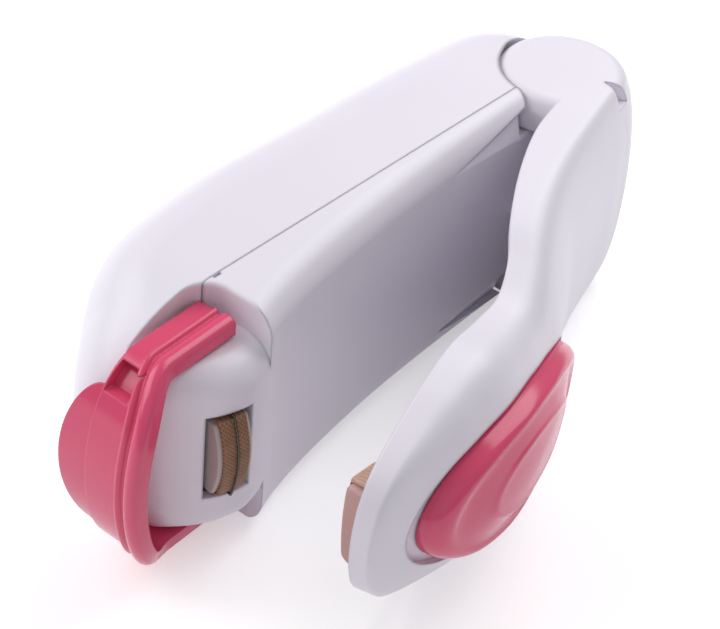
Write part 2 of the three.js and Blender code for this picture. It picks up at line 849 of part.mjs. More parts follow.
function makeLeverLiner() {
  const top = -rimFlatShare * leverDepth - runningGap;
  const plate = leverLoft(leverShares[4][0], hollowEndShare, leverWall + runningGap, 0).intersect(
    boxBetween([-leverReach, top - linerThickness, -halfWidth], [-linerHingeReach, top, halfWidth]),
  );
  const holes = linerScrewReaches.map((place) =>
    rod('y', screwShankRadius + screwHoleGap, top - linerThickness - cutOverrun, top + cutOverrun, -place, 0),
  );
  return cut(plate, holes);
}

// The end of the lever's nub that stands under the switch plunger.
function plungerNubTop() {
  const point = new THREE.Vector2(plungerX - hingeX, plungerBottomY - hingeY - runningGap);
  return point.rotateAround(new THREE.Vector2(), -leverOpenAngle);
}

// Place on the rounded front of the lock clip's outer face at a share of its half width.
function lockFront(acrossShare) {
  const front = lockReach - lockX + lockBendX;
  const bulge = Math.max(1 - Math.abs(acrossShare) ** lockPower, 0) ** (1 / lockPower);
  return { x: lockBendX - front * bulge, z: lockHalfWidth * acrossShare };
}

// Plan line of the lock clip at the outer face: arms that run into the rounded front.
function lockPath() {
  const armEnd = lockX + lockArmTail;
  const armMiddle = (armEnd + lockBendX) / 2;
  const places = [
    { x: armEnd, z: lockHalfWidth },
    { x: armMiddle, z: lockHalfWidth },
  ];
  for (let step = 0; step <= lockSteps; step += 1) {
    const turn = Math.cos((Math.PI * step) / lockSteps);
    places.push(lockFront(Math.sign(turn) * Math.abs(turn) ** (2 / lockPower)));
  }
  places.push({ x: armMiddle, z: -lockHalfWidth });
  places.push({ x: armEnd, z: -lockHalfWidth });
  return places;
}

// One ring at each place of a plan line, from the section's [offset out, level] points there.
function ringsAlong(path, section) {
  return path.map((place, step) => {
    const before = path[Math.max(step - 1, 0)];
    const after = path[Math.min(step + 1, path.length - 1)];
    const along = new THREE.Vector2(after.x - before.x, after.z - before.z).normalize();
    return section(place).map(
      ([offset, y]) => new THREE.Vector3(place.x + along.y * offset, y, place.z - along.x * offset),
    );
  });
}

function lockTop(place) {
  return lockY + lockArmTop - lockSlopeShare * (lockX + lockArmTail - place.x);
}

// Section of the clip: a bead and a rib low on its outer face, and the visor that leans out as it rises.
function clipSection(place) {
  const frontShare = Math.max((lockBendX - place.x) / (lockReach - lockX + lockBendX), 0);
  const ease = frontShare * frontShare * (3 - 2 * frontShare);
  const top = lockTop(place);
  const bottom = top - lockArmTop - lockArmBottom - lockFrontDrop * ease;
  const ribEdge = lockRibWidth * lockEdgeShare;
  const beadEdge = lockBeadWidth * lockEdgeShare;
  const ribTop = bottom + lockRibWidth;
  const beadBottom = ribTop + lockGroove;
  const beadTop = beadBottom + lockBeadWidth;
  const onFront = place.x < lockBendX ? Math.max(1 - (place.z / visorHalfWidth) ** 2, 0) : 0;
  const share = Math.sqrt(onFront);
  const visorTop = top + lockRimHeight + share * visorRise;
  const lean = share * visorFlare;
  return [
    [0, top],
    [0, beadTop],
    [lockBeadHeight, beadTop - beadEdge],
    [lockBeadHeight, beadBottom + beadEdge],
    [0, beadBottom],
    [0, ribTop],
    [lockRibHeight, ribTop - ribEdge],
    [lockRibHeight, bottom + ribEdge],
    [0, bottom],
    [-lockWall, bottom],
    [-lockWall, top],
    [-lockWall + visorStep / 2 + lean, visorTop],
    [-visorStep + lean, visorTop],
    [-visorStep, top],
  ];
}

function makeLockClip() {
  const band = loft(ringsAlong(lockPath(), clipSection));
  const bosses = [1, -1].map((side) => {
    const root = side * (lockHalfWidth - lockWall / 2);
    const end = side * (halfWidth - recessDepth - lockBossLength);
    return rod('z', lockBossRadius, end, root, lockX, lockY);
  });
  const slotTop = lockTop({ x: lockBendX }) - lockSlotDrop;
  const slot = boxBetween(
    [lockX - lockReach - cutOverrun, slotTop - lockSlotHeight, lockSlotLow],
    [lockBendX, slotTop, lockSlotHigh],
  );
  return cut(join([band, ...bosses]), [slot]);
}

// Heater pieces in the heater's frame, where -Y points out of the case.
function crownedBlock(halfAcross, length, proud, depth, drop) {
  const outline = [[-length / 2, depth]];
  for (let step = 0; step <= crownSteps; step += 1) {
    const along = -1 + (2 * step) / crownSteps;
    outline.push([(along * length) / 2, -proud + drop * along * along]);
  }
  outline.push([length / 2, depth]);
  const shape = new THREE.Shape(outline.map(([z, y]) => new THREE.Vector2(z, y)));
  const geometry = new THREE.ExtrudeGeometry(shape, { depth: 2 * halfAcross, bevelEnabled: false });
  geometry.translate(0, 0, -halfAcross).rotateY(-Math.PI / 2);
  return solid(geometry);
}

function makeHeaterCloth() {
  const halfAcross = (heaterWidth - clothInset) / 2;
  const lift = clothGap + clothThickness;
  const blockDepth = heaterDepth - shellWall;
  const outer = crownedBlock(halfAcross, heaterLength + 2 * lift, heaterProud + lift, blockDepth - lift,
    heaterCrownDrop);
  const inner = crownedBlock(heaterWidth, heaterLength + 2 * clothGap, heaterProud + clothGap,
    heaterDepth + cutOverrun, heaterCrownDrop);
  return outer.subtract(inner);
}

// The heater wire lies over the cloth and turns down inside at both ends.
function heaterWirePoints() {
  const lift = 2 * clothGap + clothThickness + heaterWireRadius;
  const end = heaterLength / 2 + lift;
  const low = heaterDepth - shellWall - 2 * clothThickness;
  const crownHalf = heaterLength / 2 + clothGap + clothThickness;
  const crown = [];
  for (let step = 0; step <= crownSteps; step += 1) {
    const along = 1 - (2 * step) / crownSteps;
    const y = -heaterProud - lift + heaterCrownDrop * along * along;
    crown.push(new THREE.Vector3(0, y, along * crownHalf));
  }
  return [
    new THREE.Vector3(0, low, end),
    new THREE.Vector3(0, heaterCrownDrop, end),
    ...crown,
    new THREE.Vector3(0, heaterCrownDrop, -end),
    new THREE.Vector3(0, low, -end),
  ];
}

function makeHeaterBracket() {
  const half = heaterWidth / 2 + runningGap;
  const start = heaterDepth - bracketHeight;
  const end = heaterDepth + runningGap + shellWall / 2;
  const halfLong = heaterLength / 2;
  const outer = heaterBox(half + shellWall / 2, end, -start, halfLong);
  return outer.subtract(heaterBox(half, heaterDepth + runningGap, 0, heaterLength));
}

// A terminal beside one end of the heater wire, on the side named by its sign.
function makeHeaterClip(side) {
  const start = heaterLength / 2 + 2 * clothGap + clothThickness + 2 * heaterWireRadius + runningGap;
  const low = heaterDepth - bracketHeight;
  return boxBetween(
    [-shellWall / 2, low, Math.min(side * start, side * (start + shellWall))],
    [shellWall / 2, low + shellWall, Math.max(side * start, side * (start + shellWall))],
  );
}

// Height of the press cloth's face over the heater's frame with the lever shut.
const pressFaceY =
  -(heaterProud + 2 * clothGap + clothThickness + 2 * heaterWireRadius + pressGap);

// From the heater's frame to the lever's frame with the lever shut.
function inLever(body) {
  const heaterFrame = new THREE.Matrix4().makeRotationZ(-heaterTilt).setPosition(heaterX, heaterY, 0);
  const shutLever = new THREE.Matrix4().makeRotationZ(leverClosedAngle).setPosition(hingeX, hingeY, 0);
  return body.transform(shutLever.invert().multiply(heaterFrame).toArray());
}

function aboveLiner(body) {
  const top = -rimFlatShare * leverDepth;
  const below = boxBetween([-2 * leverReach, -2 * leverDepth, -halfWidth], [0, top, halfWidth]);
  return body.subtract(below);
}

function makePressPad() {
  const face = -pressFaceY + clothThickness + clothGap;
  const block = heaterBox(pressPadWidth / 2, -face, leverDepth, pressPadLength / 2, pressPadShift);
  return aboveLiner(inLever(block));
}

function makePressCloth() {
  const face = -pressFaceY;
  const lift = clothThickness + clothGap;
  const halfAcross = (pressPadWidth - clothInset) / 2;
  const shift = pressPadShift + clothInset / 2;
  const outer = heaterBox(halfAcross, -face, leverDepth, pressPadLength / 2 + lift, shift);
  const innerHalf = pressPadLength / 2 + clothGap;
  const inner = heaterBox(pressPadWidth, -face - clothThickness, 2 * leverDepth, innerHalf);
  return aboveLiner(inLever(outer.subtract(inner)));
}

const cellZ = cellRadius + cellGap / 2;
const trayHalfWidth = halfWidth - shellWall - trayClearance;

function makeTray() {
  const start = cellBayStart - trayWall;
  const end = bayEnd + trayWall;
  const floorTop = partingY + trayFloor;
  const blank = boxBetween([start, partingY, -trayHalfWidth], [end, floorTop + trayEndHeight, trayHalfWidth]);
  const well = boxBetween(
    [cellBayStart, floorTop, -trayHalfWidth + trayWall],
    [bayEnd, floorTop + 2 * trayEndHeight, trayHalfWidth - trayWall],
  );
  const sideGap = boxBetween(
    [cellBayStart, floorTop + traySideHeight, -halfWidth],
    [bayEnd, floorTop + 2 * trayEndHeight, halfWidth],
  );
  const leadNotch = boxBetween(
    [start - cutOverrun, partingY - cutOverrun, -3 * leadLaneZ - runningGap],
    [end + cutOverrun, leadLaneY + 2 * contactThickness + 5 * leadRadius, 3 * leadLaneZ + runningGap],
  ).subtract(boxBetween([cellBayStart, partingY - cutOverrun, -halfWidth], [bayEnd, floorTop, halfWidth]));
  const plungerSpace = plungerFlangeRadius + 2 * runningGap;
  const plungerNotch = boxBetween(
    [plungerX - plungerSpace, partingY - cutOverrun, -plungerSpace],
    [end + cutOverrun, leadLaneY, plungerSpace],
  );
  const screwBores = trayScrewPlaces.map((x) =>
    rod('y', screwShankRadius + screwHoleGap, partingY - cutOverrun, floorTop + cutOverrun, x, 0),
  );
  const cornerEnd = lockX + recessRadius + recessWall + trayClearance;
  const cornerFloor = halfWidth - recessDepth - recessWall - trayClearance;
  const noseCorners = [1, -1].map((side) =>
    boxBetween(
      [start - cutOverrun, partingY - cutOverrun, Math.min(side * cornerFloor, side * halfWidth)],
      [cornerEnd, floorTop + 2 * trayEndHeight, Math.max(side * cornerFloor, side * halfWidth)],
    ),
  );
  const room = coverLoft(shellWall + trayClearance, partingY - cutOverrun);
  return cut(blank, [well, sideGap, leadNotch, plungerNotch, ...screwBores, ...noseCorners]).intersect(room);
}

// An AA cell with its button toward the nose (facing -1) or the tail (facing 1).
function makeCell(facing) {
  const seat = facing < 0 ? cellBayStart : bayEnd;
  const tip = seat - facing * (2 * runningGap + contactThickness);
  const shoulder = tip - facing * cellButtonLength;
  const base = shoulder - facing * cellLength;
  const z = -facing * cellZ;
  const button = rod('x', cellButtonRadius, tip, shoulder - facing * cellButtonLength, cellY, z, smallSegments);
  return rod('x', cellRadius, shoulder, base, cellY, z).add(button);
}

// A contact plate on the nose wall or the tail wall of the tray, from one cell's middle to another's.
function makeContactPlate(wallSide, lowCellZ, highCellZ) {
  const lowZ = lowCellZ - contactHalfHeight;
  const highZ = highCellZ + contactHalfHeight;
  const wall = wallSide < 0 ? cellBayStart : bayEnd;
  const near = wall - wallSide * runningGap;
  const far = near - wallSide * contactThickness;
  return boxBetween(
    [Math.min(near, far), cellY - contactHalfHeight, lowZ],
    [Math.max(near, far), cellY + contactHalfHeight, highZ],
  );
}

// Centre line of a coil as frames: a point, the way out from the axis, and the axis.
function coilFrames(curls, radius, startAlong, endAlong, startTurn) {
  const steps = curlSteps * curls;
  const frames = [];
  for (let step = 0; step <= steps; step += 1) {
    const turn = startTurn + (2 * Math.PI * step) / curlSteps;
    const along = startAlong + ((endAlong - startAlong) * step) / steps;
    frames.push({ turn, along, radius, shift: 0 });
  }
  return frames;
}

// A coil of wire along Z as one tube, with the ends drawn out straight by the leg lengths.
function coil(frames, wireRadius, startLeg, endLeg) {
  const legs = [
    { ...frames[0], shift: -startLeg },
    ...frames,
    { ...frames[frames.length - 1], shift: endLeg },
  ].filter((frame, place, all) => (place > 0 && place < all.length - 1) || frame.shift !== 0);
  const rings = legs.map(({ turn, along, radius, shift }) => {
    const ring = [];
    for (let side = 0; side < coilSides; side += 1) {
      const round = (2 * Math.PI * side) / coilSides;
      const reach = radius + wireRadius * Math.cos(round);
      const x = reach * Math.cos(turn) - shift * Math.sin(turn);
      const y = reach * Math.sin(turn) + shift * Math.cos(turn);
      ring.push(new THREE.Vector3(x, y, along + wireRadius * Math.sin(round)));
    }
    return ring;
  });
  return loft(rings);
}

// Least free gap of a coil to itself, measured between centre points half a curl apart or more.
function leastGap(frames, wireRadius) {
  const points = frames.map(
    ({ turn, along, radius }) => new THREE.Vector3(radius * Math.cos(turn), radius * Math.sin(turn), along),
  );
  let least = Infinity;
  points.forEach((point, place) => {
    points.slice(place + curlSteps / 2).forEach((other) => {
      least = Math.min(least, point.distanceTo(other) - 2 * wireRadius);
    });
  });
  return least;
}

function makeCellSpring(facing) {
  const seat = facing < 0 ? cellBayStart : bayEnd;
  const plate = seat - facing * (2 * runningGap + contactThickness + springWireRadius);
  const inner = plate - facing * (cellSpringRoom - 2 * springWireRadius + runningGap);
  const frames = coilFrames(cellSpringCurls, cellSpringRadius, plate, inner, 0);
  console.log(`cell spring, least gap to itself ${leastGap(frames, springWireRadius).toFixed(2)} mm`);
  const matrix = new THREE.Matrix4().makeRotationY(Math.PI / 2).setPosition(0, cellY, facing * cellZ);
  return coil(frames, springWireRadius, 0, 0).transform(matrix.toArray());
}

function makeReturnSpring() {
  const half = (returnSpringCurls * returnSpringPitch) / 2;
  const frames = coilFrames(returnSpringCurls + 0.5, returnSpringRadius, -half, half, Math.PI / 2);
  console.log(`return spring, least gap to itself ${leastGap(frames, returnSpringWire).toFixed(2)} mm`);
  const leg = knuckleRadius - returnSpringWire - runningGap;
  const place = new THREE.Matrix4().makeTranslation(hingeX, hingeY, 0);
  return coil(frames, returnSpringWire, 0, leg - returnSpringRadius).transform(place.toArray());
}

function makePlunger() {
  const flangeTop = plungerTopY - runningGap;
  return rod('y', plungerRadius, plungerBottomY, plungerTopY, plungerX, 0).add(
    rod('y', plungerFlangeRadius, flangeTop - plungerFlangeHeight, flangeTop, plungerX, 0),
  );
}

// A contact strip behind the tail wall of the tray, with an upright leg on one side.
function makeContactStrip(side, level) {
  const x = bayEnd + trayWall + runningGap;
  const leg = side * contactSpan;
  const legEnd = leg + side * contactThickness;
  const free = (-side * contactSpan) / 3;
  const strip = boxBetween(
    [x, level, Math.min(free, legEnd)],
    [x + contactWidth, level + contactThickness, Math.max(free, legEnd)],
  );
  const upright = boxBetween(
    [x, level, Math.min(leg, legEnd)],
    [x + contactWidth, leadLaneY + contactHalfHeight, Math.max(leg, legEnd)],
  );
  return strip.add(upright);
}

// A screw along Y with its head at the top of the given level; down is -1 and up is 1.
function makeScrew(x, seat, head) {
  return rod('y', screwHeadRadius, seat, seat + head * screwHeadHeight, x, 0, smallSegments).add(
    rod('y', screwShankRadius, seat, seat - head * screwShankLength, x, 0, smallSegments),
  );
}

// Leads, as lists of points along the routes that they are held on.
function leadRoutes() {
  const tail = bayEnd + trayWall + runningGap + contactWidth / 2;
  const nose = cellBayStart - trayWall;
  const clipY = heaterY + heaterDepth - shellWall;
  const clipZ = heaterLength / 2 + shellWall;
  const stripTop = leadLaneY + 2 * contactThickness + leadRadius;
  const lane = (z) => [
    new THREE.Vector3(nose + trayWall, leadLaneY, z),
    new THREE.Vector3(nose / 2, leadLaneY, z),
    new THREE.Vector3(bayEnd / 2, leadLaneY, z),
    new THREE.Vector3(bayEnd - trayWall, leadLaneY, z),
  ];
  const toStrip = (side) => [
    new THREE.Vector3(tail, stripTop + leadRadius, side * 3 * leadLaneZ),
    new THREE.Vector3(tail, stripTop + leadRadius, side * (contactSpan - leadRadius)),
  ];
  return {
    lead_negative: [
      new THREE.Vector3(nose - 2 * leadRadius, cellY, -cellZ),
      new THREE.Vector3(nose - 2 * leadRadius, cellY - cellRadius / 2, -cellZ / 2),
      new THREE.Vector3(nose - 2 * leadRadius, leadLaneY, -leadLaneZ),
      ...lane(-leadLaneZ),
      ...toStrip(-1),
    ],
    lead_switch: [
      new THREE.Vector3(heaterX + shellWall, clipY + 2 * shellWall, -clipZ),
      new THREE.Vector3(nose - 4 * leadRadius, partingY, -cellZ / 2),
      new THREE.Vector3(nose - 3 * leadRadius, leadLaneY - leadRadius, leadLaneZ),
      ...lane(leadLaneZ),
      ...toStrip(1),
    ],
    lead_positive: [
      new THREE.Vector3(heaterX + shellWall, clipY + 2 * shellWall, clipZ),
      new THREE.Vector3(nose - 4 * leadRadius, partingY, cellZ),
      new THREE.Vector3(nose - 2 * leadRadius, cellY, cellZ),
    ],
  };
}

function leadSolid(points) {
  const length = new THREE.CatmullRomCurve3(points, false, 'centripetal').getLength();
  return solid(wire(points, leadRadius, Math.ceil(length / (6 * leadRadius)), thinWireSides));
}

// Adds one named piece with a material of its own.
function addPiece(group, name, body, finish) {
  const mesh = new THREE.Mesh(geometryOf(body), new THREE.MeshStandardMaterial(finishes[finish]));
  mesh.name = name;
  group.add(mesh);
  return mesh;
}

const sealer = new THREE.Group();
const lever = new THREE.Group();
lever.position.set(hingeX, hingeY, 0);
lever.rotation.z = leverOpenAngle;
sealer.add(lever);
const heater = new THREE.Group();
heater.position.set(heaterX, heaterY, 0);
heater.rotation.z = -heaterTilt;
sealer.add(heater);

addPiece(sealer, 'main_case', makeMainCase(), 'shell');
addPiece(sealer, 'battery_cover', makeBatteryCover(), 'shell');
addPiece(sealer, 'lock_clip', makeLockClip(), 'pink');
addPiece(sealer, 'battery_tray', makeTray(), 'black');
addPiece(sealer, 'cell_upper', makeCell(-1), 'cell');
addPiece(sealer, 'cell_lower', makeCell(1), 'cell');
addPiece(sealer, 'positive_tab', makeContactPlate(-1, cellZ, cellZ), 'steel');
addPiece(sealer, 'negative_tab', makeContactPlate(-1, -cellZ, -cellZ), 'steel');
addPiece(sealer, 'bridge_plate', makeContactPlate(1, -cellZ, cellZ), 'steel');
addPiece(sealer, 'cell_spring_nose', makeCellSpring(-1), 'steel');
addPiece(sealer, 'cell_spring_tail', makeCellSpring(1), 'steel');
addPiece(sealer, 'switch_plunger', makePlunger(), 'shell');
addPiece(sealer, 'contact_leaf', makeContactStrip(1, plungerTopY + runningGap), 'brass');
addPiece(sealer, 'contact_fixed', makeContactStrip(-1, leadLaneY - contactThickness / 2), 'brass');
addPiece(sealer, 'hinge_pin', rod('z', pinRadius, -pinHalfLength, pinHalfLength, hingeX, hingeY), 'steel');
addPiece(sealer, 'return_spring', makeReturnSpring(), 'steel');
trayScrewPlaces.forEach((x, place) => {
  addPiece(sealer, `tray_screw_${place + 1}`, makeScrew(x, partingY + trayFloor + screwHoleGap, 1), 'steel');
});
Object.entries(leadRoutes()).forEach(([name, points]) => {
  addPiece(sealer, name, leadSolid(points), name === 'lead_negative' ? 'black' : 'red');
});

addPiece(heater, 'heater_block', crownedBlock(heaterWidth / 2, heaterLength, heaterProud, heaterDepth, heaterCrownDrop),
  'ceramic');
addPiece(heater, 'heater_cloth', makeHeaterCloth(), 'cloth');
const heaterStrand = wire(heaterWirePoints(), heaterWireRadius, 4 * crownSteps, thinWireSides);
addPiece(heater, 'heater_wire', solid(heaterStrand), 'steel');
addPiece(heater, 'heater_bracket', makeHeaterBracket(), 'liner');
addPiece(heater, 'heater_clip_upper', makeHeaterClip(1), 'brass');
addPiece(heater, 'heater_clip_lower', makeHeaterClip(-1), 'brass');

addPiece(lever, 'lever_shell', makeLeverShell(), 'shell');
addPiece(lever, 'lever_liner', makeLeverLiner(), 'liner');
addPiece(lever, 'thumb_pad', makeThumbPad(), 'pink');
addPiece(lever, 'press_pad', makePressPad(), 'silicone');
addPiece(lever, 'press_cloth', makePressCloth(), 'cloth');
linerScrewReaches.forEach((reach, place) => {
  const seat = -rimFlatShare * leverDepth - runningGap + screwHoleGap;
  addPiece(lever, `liner_screw_${place + 1}`, makeScrew(-reach, seat, 1), 'steel');
});

// The sealer lies on the lower side face of its body, centred over its resting plane.
const root = new THREE.Group();
root.add(sealer);
root.updateMatrixWorld(true);
const bounds = new THREE.Box3().setFromObject(sealer, true);
const middle = bounds.getCenter(new THREE.Vector3());
sealer.position.set(-middle.x, -middle.y, -bounds.min.z);

export default root;
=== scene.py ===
# %% [markdown]
# # Mini bag sealer
# A hand-held sealer lies on its flat side: two moulded body halves, a sprung lever with a thumb pad, and a
# pink clip that swings over the lever's tip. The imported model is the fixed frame, and the smooth visible
# skins are worked out here from the same sizes.

# %% Frame and units
import math

import bmesh
import bpy
import numpy as np
from mathutils import Matrix, Vector


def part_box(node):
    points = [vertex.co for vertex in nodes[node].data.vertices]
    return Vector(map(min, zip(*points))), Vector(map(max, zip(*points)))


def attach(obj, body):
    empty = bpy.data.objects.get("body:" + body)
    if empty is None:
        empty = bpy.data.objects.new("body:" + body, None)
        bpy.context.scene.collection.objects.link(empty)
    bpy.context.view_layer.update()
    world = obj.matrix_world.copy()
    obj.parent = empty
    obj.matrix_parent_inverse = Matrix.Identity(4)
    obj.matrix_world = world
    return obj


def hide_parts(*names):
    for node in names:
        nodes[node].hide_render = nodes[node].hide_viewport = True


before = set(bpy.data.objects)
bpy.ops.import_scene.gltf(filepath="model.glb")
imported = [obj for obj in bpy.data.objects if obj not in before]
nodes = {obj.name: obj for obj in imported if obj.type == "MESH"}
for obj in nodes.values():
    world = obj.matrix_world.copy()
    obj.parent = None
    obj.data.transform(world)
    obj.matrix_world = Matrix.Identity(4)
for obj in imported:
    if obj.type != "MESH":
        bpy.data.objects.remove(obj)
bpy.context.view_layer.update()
MM = 0.001

# %% [markdown]
# The skins are drawn in the same millimetres as the solids: X along the length, Y from the lever to the
# battery cover, Z across, with the hinge pin at a known place. The pin's box in the frame gives the shift
# between both.

# %% Working millimetres
HINGE = np.array([41.5, -0.4, 0.0])
pin_low, pin_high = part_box("hinge_pin")
SHIFT = np.array((pin_low + pin_high) / 2) / MM - HINGE
HALF_WIDTH = 17.5
NOSE_REACH = 46.0
TAIL_REACH = 51.6
COVER_HEIGHT = 22.3
CASE_DEPTH = 10.4
PARTING_Y = 0.8
SEAM_GAP = 0.14
WALL = 1.8
print("shift", SHIFT.round(3))

# %% [markdown]
# ## Helpers
# A grid of points becomes a closed mesh: every row is a ring, neighbouring rings are joined with quads, and
# both ends get one cap. numpy makes all faces at once, which keeps a skin of thousands of faces quick to
# build.

# %% Meshes from grids
def place(points):
    """Working millimetres to metres in the frame."""
    return (np.asarray(points, float) + SHIFT) * MM


def new_object(name, points, faces):
    """A mesh object from points in working millimetres and faces."""
    mesh = bpy.data.meshes.new(name)
    mesh.from_pydata(place(points).tolist(), [], faces)
    mesh.validate()
    piece = bpy.data.objects.new(name, mesh)
    bpy.context.scene.collection.objects.link(piece)
    return piece


def outward(piece):
    """Normals recalculated so that they point out of a closed mesh."""
    work = bmesh.new()
    work.from_mesh(piece.data)
    bmesh.ops.remove_doubles(work, verts=work.verts, dist=1e-7)
    bmesh.ops.recalc_face_normals(work, faces=work.faces)
    work.to_mesh(piece.data)
    work.free()
    return piece


def tube_object(name, grid):
    """A closed body from rings: grid has the shape (rings, points in a ring, 3)."""
    rings, count = grid.shape[:2]
    here = np.arange(rings * count).reshape(rings, count)
    there = np.roll(here, -1, axis=1)
    quads = np.stack([here[:-1], there[:-1], there[1:], here[1:]], axis=-1).reshape(-1, 4)
    faces = quads.tolist() + [here[0][::-1].tolist(), here[-1].tolist()]
    return outward(new_object(name, grid.reshape(-1, 3), faces))


def turned_object(name, radii, levels, centre, steps=96):
    """A profile of radii at Z levels carried round a vertical axis, with a pole at each end."""
    turn = np.linspace(0, 2 * np.pi, steps, endpoint=False)
    ring = np.stack([np.cos(turn), np.sin(turn)], axis=-1)
    grid = np.empty((len(radii), steps, 3))
    grid[:, :, :2] = centre[:2] + np.asarray(radii)[:, None, None] * ring[None]
    grid[:, :, 2] = np.asarray(levels)[:, None]
    return tube_object(name, grid)


def turned(points, angle):
    """Points turned about Z: x cos - y sin, and x sin + y cos."""
    points = np.asarray(points, float)
    cos, sin = math.cos(angle), math.sin(angle)
    x = points[..., 0] * cos - points[..., 1] * sin
    y = points[..., 0] * sin + points[..., 1] * cos
    return np.stack([x, y, points[..., 2]], axis=-1)


def prism(name, outline, low, high, place_by=np.asarray):
    """A flat outline in X and Y, drawn up from one Z level to another in the frame of place_by."""
    rings = [np.column_stack([outline, np.full(len(outline), level)]) for level in (low, high)]
    return tube_object(name, place_by(np.stack(rings)))


def box_object(name, low, high, place_by=np.asarray):
    """A box between two corners in the frame of place_by."""
    corners = [[x, y, z] for x in (low[0], high[0]) for y in (low[1], high[1]) for z in (low[2], high[2])]
    faces = [[0, 1, 3, 2], [4, 6, 7, 5], [0, 4, 5, 1], [2, 3, 7, 6], [0, 2, 6, 4], [1, 5, 7, 3]]
    return outward(new_object(name, place_by(corners), faces))


def combine(piece, tool, operation):
    """A Boolean that is applied at once, after which the tool is thrown away."""
    modifier = piece.modifiers.new(operation, "BOOLEAN")
    modifier.operation = operation
    modifier.solver = "EXACT"
    modifier.object = tool
    bpy.context.view_layer.update()
    result = bpy.data.meshes.new_from_object(piece.evaluated_get(bpy.context.evaluated_depsgraph_get()))
    piece.modifiers.remove(modifier)
    old = piece.data
    piece.data = result
    bpy.data.meshes.remove(old)
    bpy.data.objects.remove(tool)
    return piece


def smooth(piece, degrees):
    """Smooth shading, sharp where neighbouring faces meet at more than the given angle."""
    piece.data.shade_smooth()
    piece.data.set_sharp_from_angle(angle=math.radians(degrees))
    modifier = piece.modifiers.new("even normals", "WEIGHTED_NORMAL")
    modifier.keep_sharp = True


def dress(piece, material, body, node, sharp=50):
    """Shading and material of a finished piece, which is parented to its body's empty while the imported part
    it replaces is hidden.
    """
    smooth(piece, sharp)
    piece.data.materials.append(material)
    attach(piece, body)
    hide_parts(node)


def smooth_rows(table, places):
    """Cubic Hermite values between the rows of a table whose first column is sorted."""
    table = np.asarray(table, float)
    spot = table[:, 0]
    values = table[:, 1:]
    last = len(spot) - 1
    before = np.maximum(np.arange(last + 1) - 1, 0)
    after = np.minimum(np.arange(last + 1) + 1, last)
    slope = (values[after] - values[before]) / (spot[after] - spot[before])[:, None]
    places = np.clip(np.asarray(places, float), spot[0], spot[-1])
    high = np.clip(np.searchsorted(spot, places), 1, last)
    low = high - 1
    span = (spot[high] - spot[low])[:, None]
    t = (places - spot[low])[:, None] / span
    return (
        (2 * t**3 - 3 * t**2 + 1) * values[low]
        + (t**3 - 2 * t**2 + t) * slope[low] * span
        + (3 * t**2 - 2 * t**3) * values[high]
        + (t**3 - t**2) * slope[high] * span
    )


# %% [markdown]
# ## Materials
# Colours are written as sRGB hex and turned to linear by one function. One small helper adds a shader node
# with its settings and its links.

# %% Material helpers
def linear(hex_text):
    """sRGB hex to linear RGBA: the dark part divides by 12.92, the rest is a power of 2.4."""
    channels = np.array([int(hex_text[i:i + 2], 16) for i in (1, 3, 5)]) / 255
    curved = np.where(channels <= 0.04045, channels / 12.92, ((channels + 0.055) / 1.055) ** 2.4)
    return (*curved.tolist(), 1.0)


def add(material, kind, links=None, **settings):
    """Adds a shader node: settings are attributes or input values, links are input name to output socket."""
    node = material.node_tree.nodes.new(kind)
    for name, value in settings.items():
        if hasattr(node, name):
            setattr(node, name, value)
        else:
            node.inputs[name.replace("_", " ")].default_value = value
    for name, socket in (links or {}).items():
        material.node_tree.links.new(socket, node.inputs[name])
    return node


def new_material(name, base, roughness, **settings):
    """A material with its Principled shader set, and that shader."""
    material = bpy.data.materials.new(name)
    material.use_nodes = True
    shader = material.node_tree.nodes["Principled BSDF"]
    shader.inputs["Base Color"].default_value = linear(base)
    shader.inputs["Roughness"].default_value = roughness
    for socket, value in settings.items():
        shader.inputs[socket.replace("_", " ")].default_value = value
    material.diffuse_color = linear(base)
    return material, shader


def moulded_skin(material, shader, light, dark, grain_mm, depth, rough_low, rough_high, edge_mm=0.0):
    """Slow colour drift, fine mould texture as bump, roughness that varies a little, and softened edges."""
    place_node = add(material, "ShaderNodeTexCoord")
    spot = {"Vector": place_node.outputs["Object"]}
    drift = add(material, "ShaderNodeTexNoise", spot, Scale=45.0, Detail=2.0)
    colour = add(material, "ShaderNodeMix", {"Factor": drift.outputs["Fac"]}, data_type="RGBA")
    colour.inputs[6].default_value = linear(light)
    colour.inputs[7].default_value = linear(dark)
    grain = add(material, "ShaderNodeTexNoise", spot, Scale=1 / (grain_mm * MM), Detail=3.0, Roughness=0.6)
    height = {"Height": grain.outputs["Fac"]}
    bump = add(material, "ShaderNodeBump", height, Strength=depth, Distance=0.02 * MM)
    if edge_mm:
        edge = add(material, "ShaderNodeBevel", Radius=edge_mm * MM, samples=6)
        material.node_tree.links.new(edge.outputs["Normal"], bump.inputs["Normal"])
    value = {"Value": drift.outputs["Fac"]}
    sheen = add(material, "ShaderNodeMapRange", value, To_Min=rough_low, To_Max=rough_high)
    tree = material.node_tree
    tree.links.new(colour.outputs[2], shader.inputs["Base Color"])
    tree.links.new(bump.outputs["Normal"], shader.inputs["Normal"])
    tree.links.new(sheen.outputs["Result"], shader.inputs["Roughness"])


# %% [markdown]
# The shells are white ABS from a polished mould with a faint lilac tint: an even satin gloss, almost no
# grain. The clip and the thumb pad are dyed ABS, a saturated pink that is a little glossier.

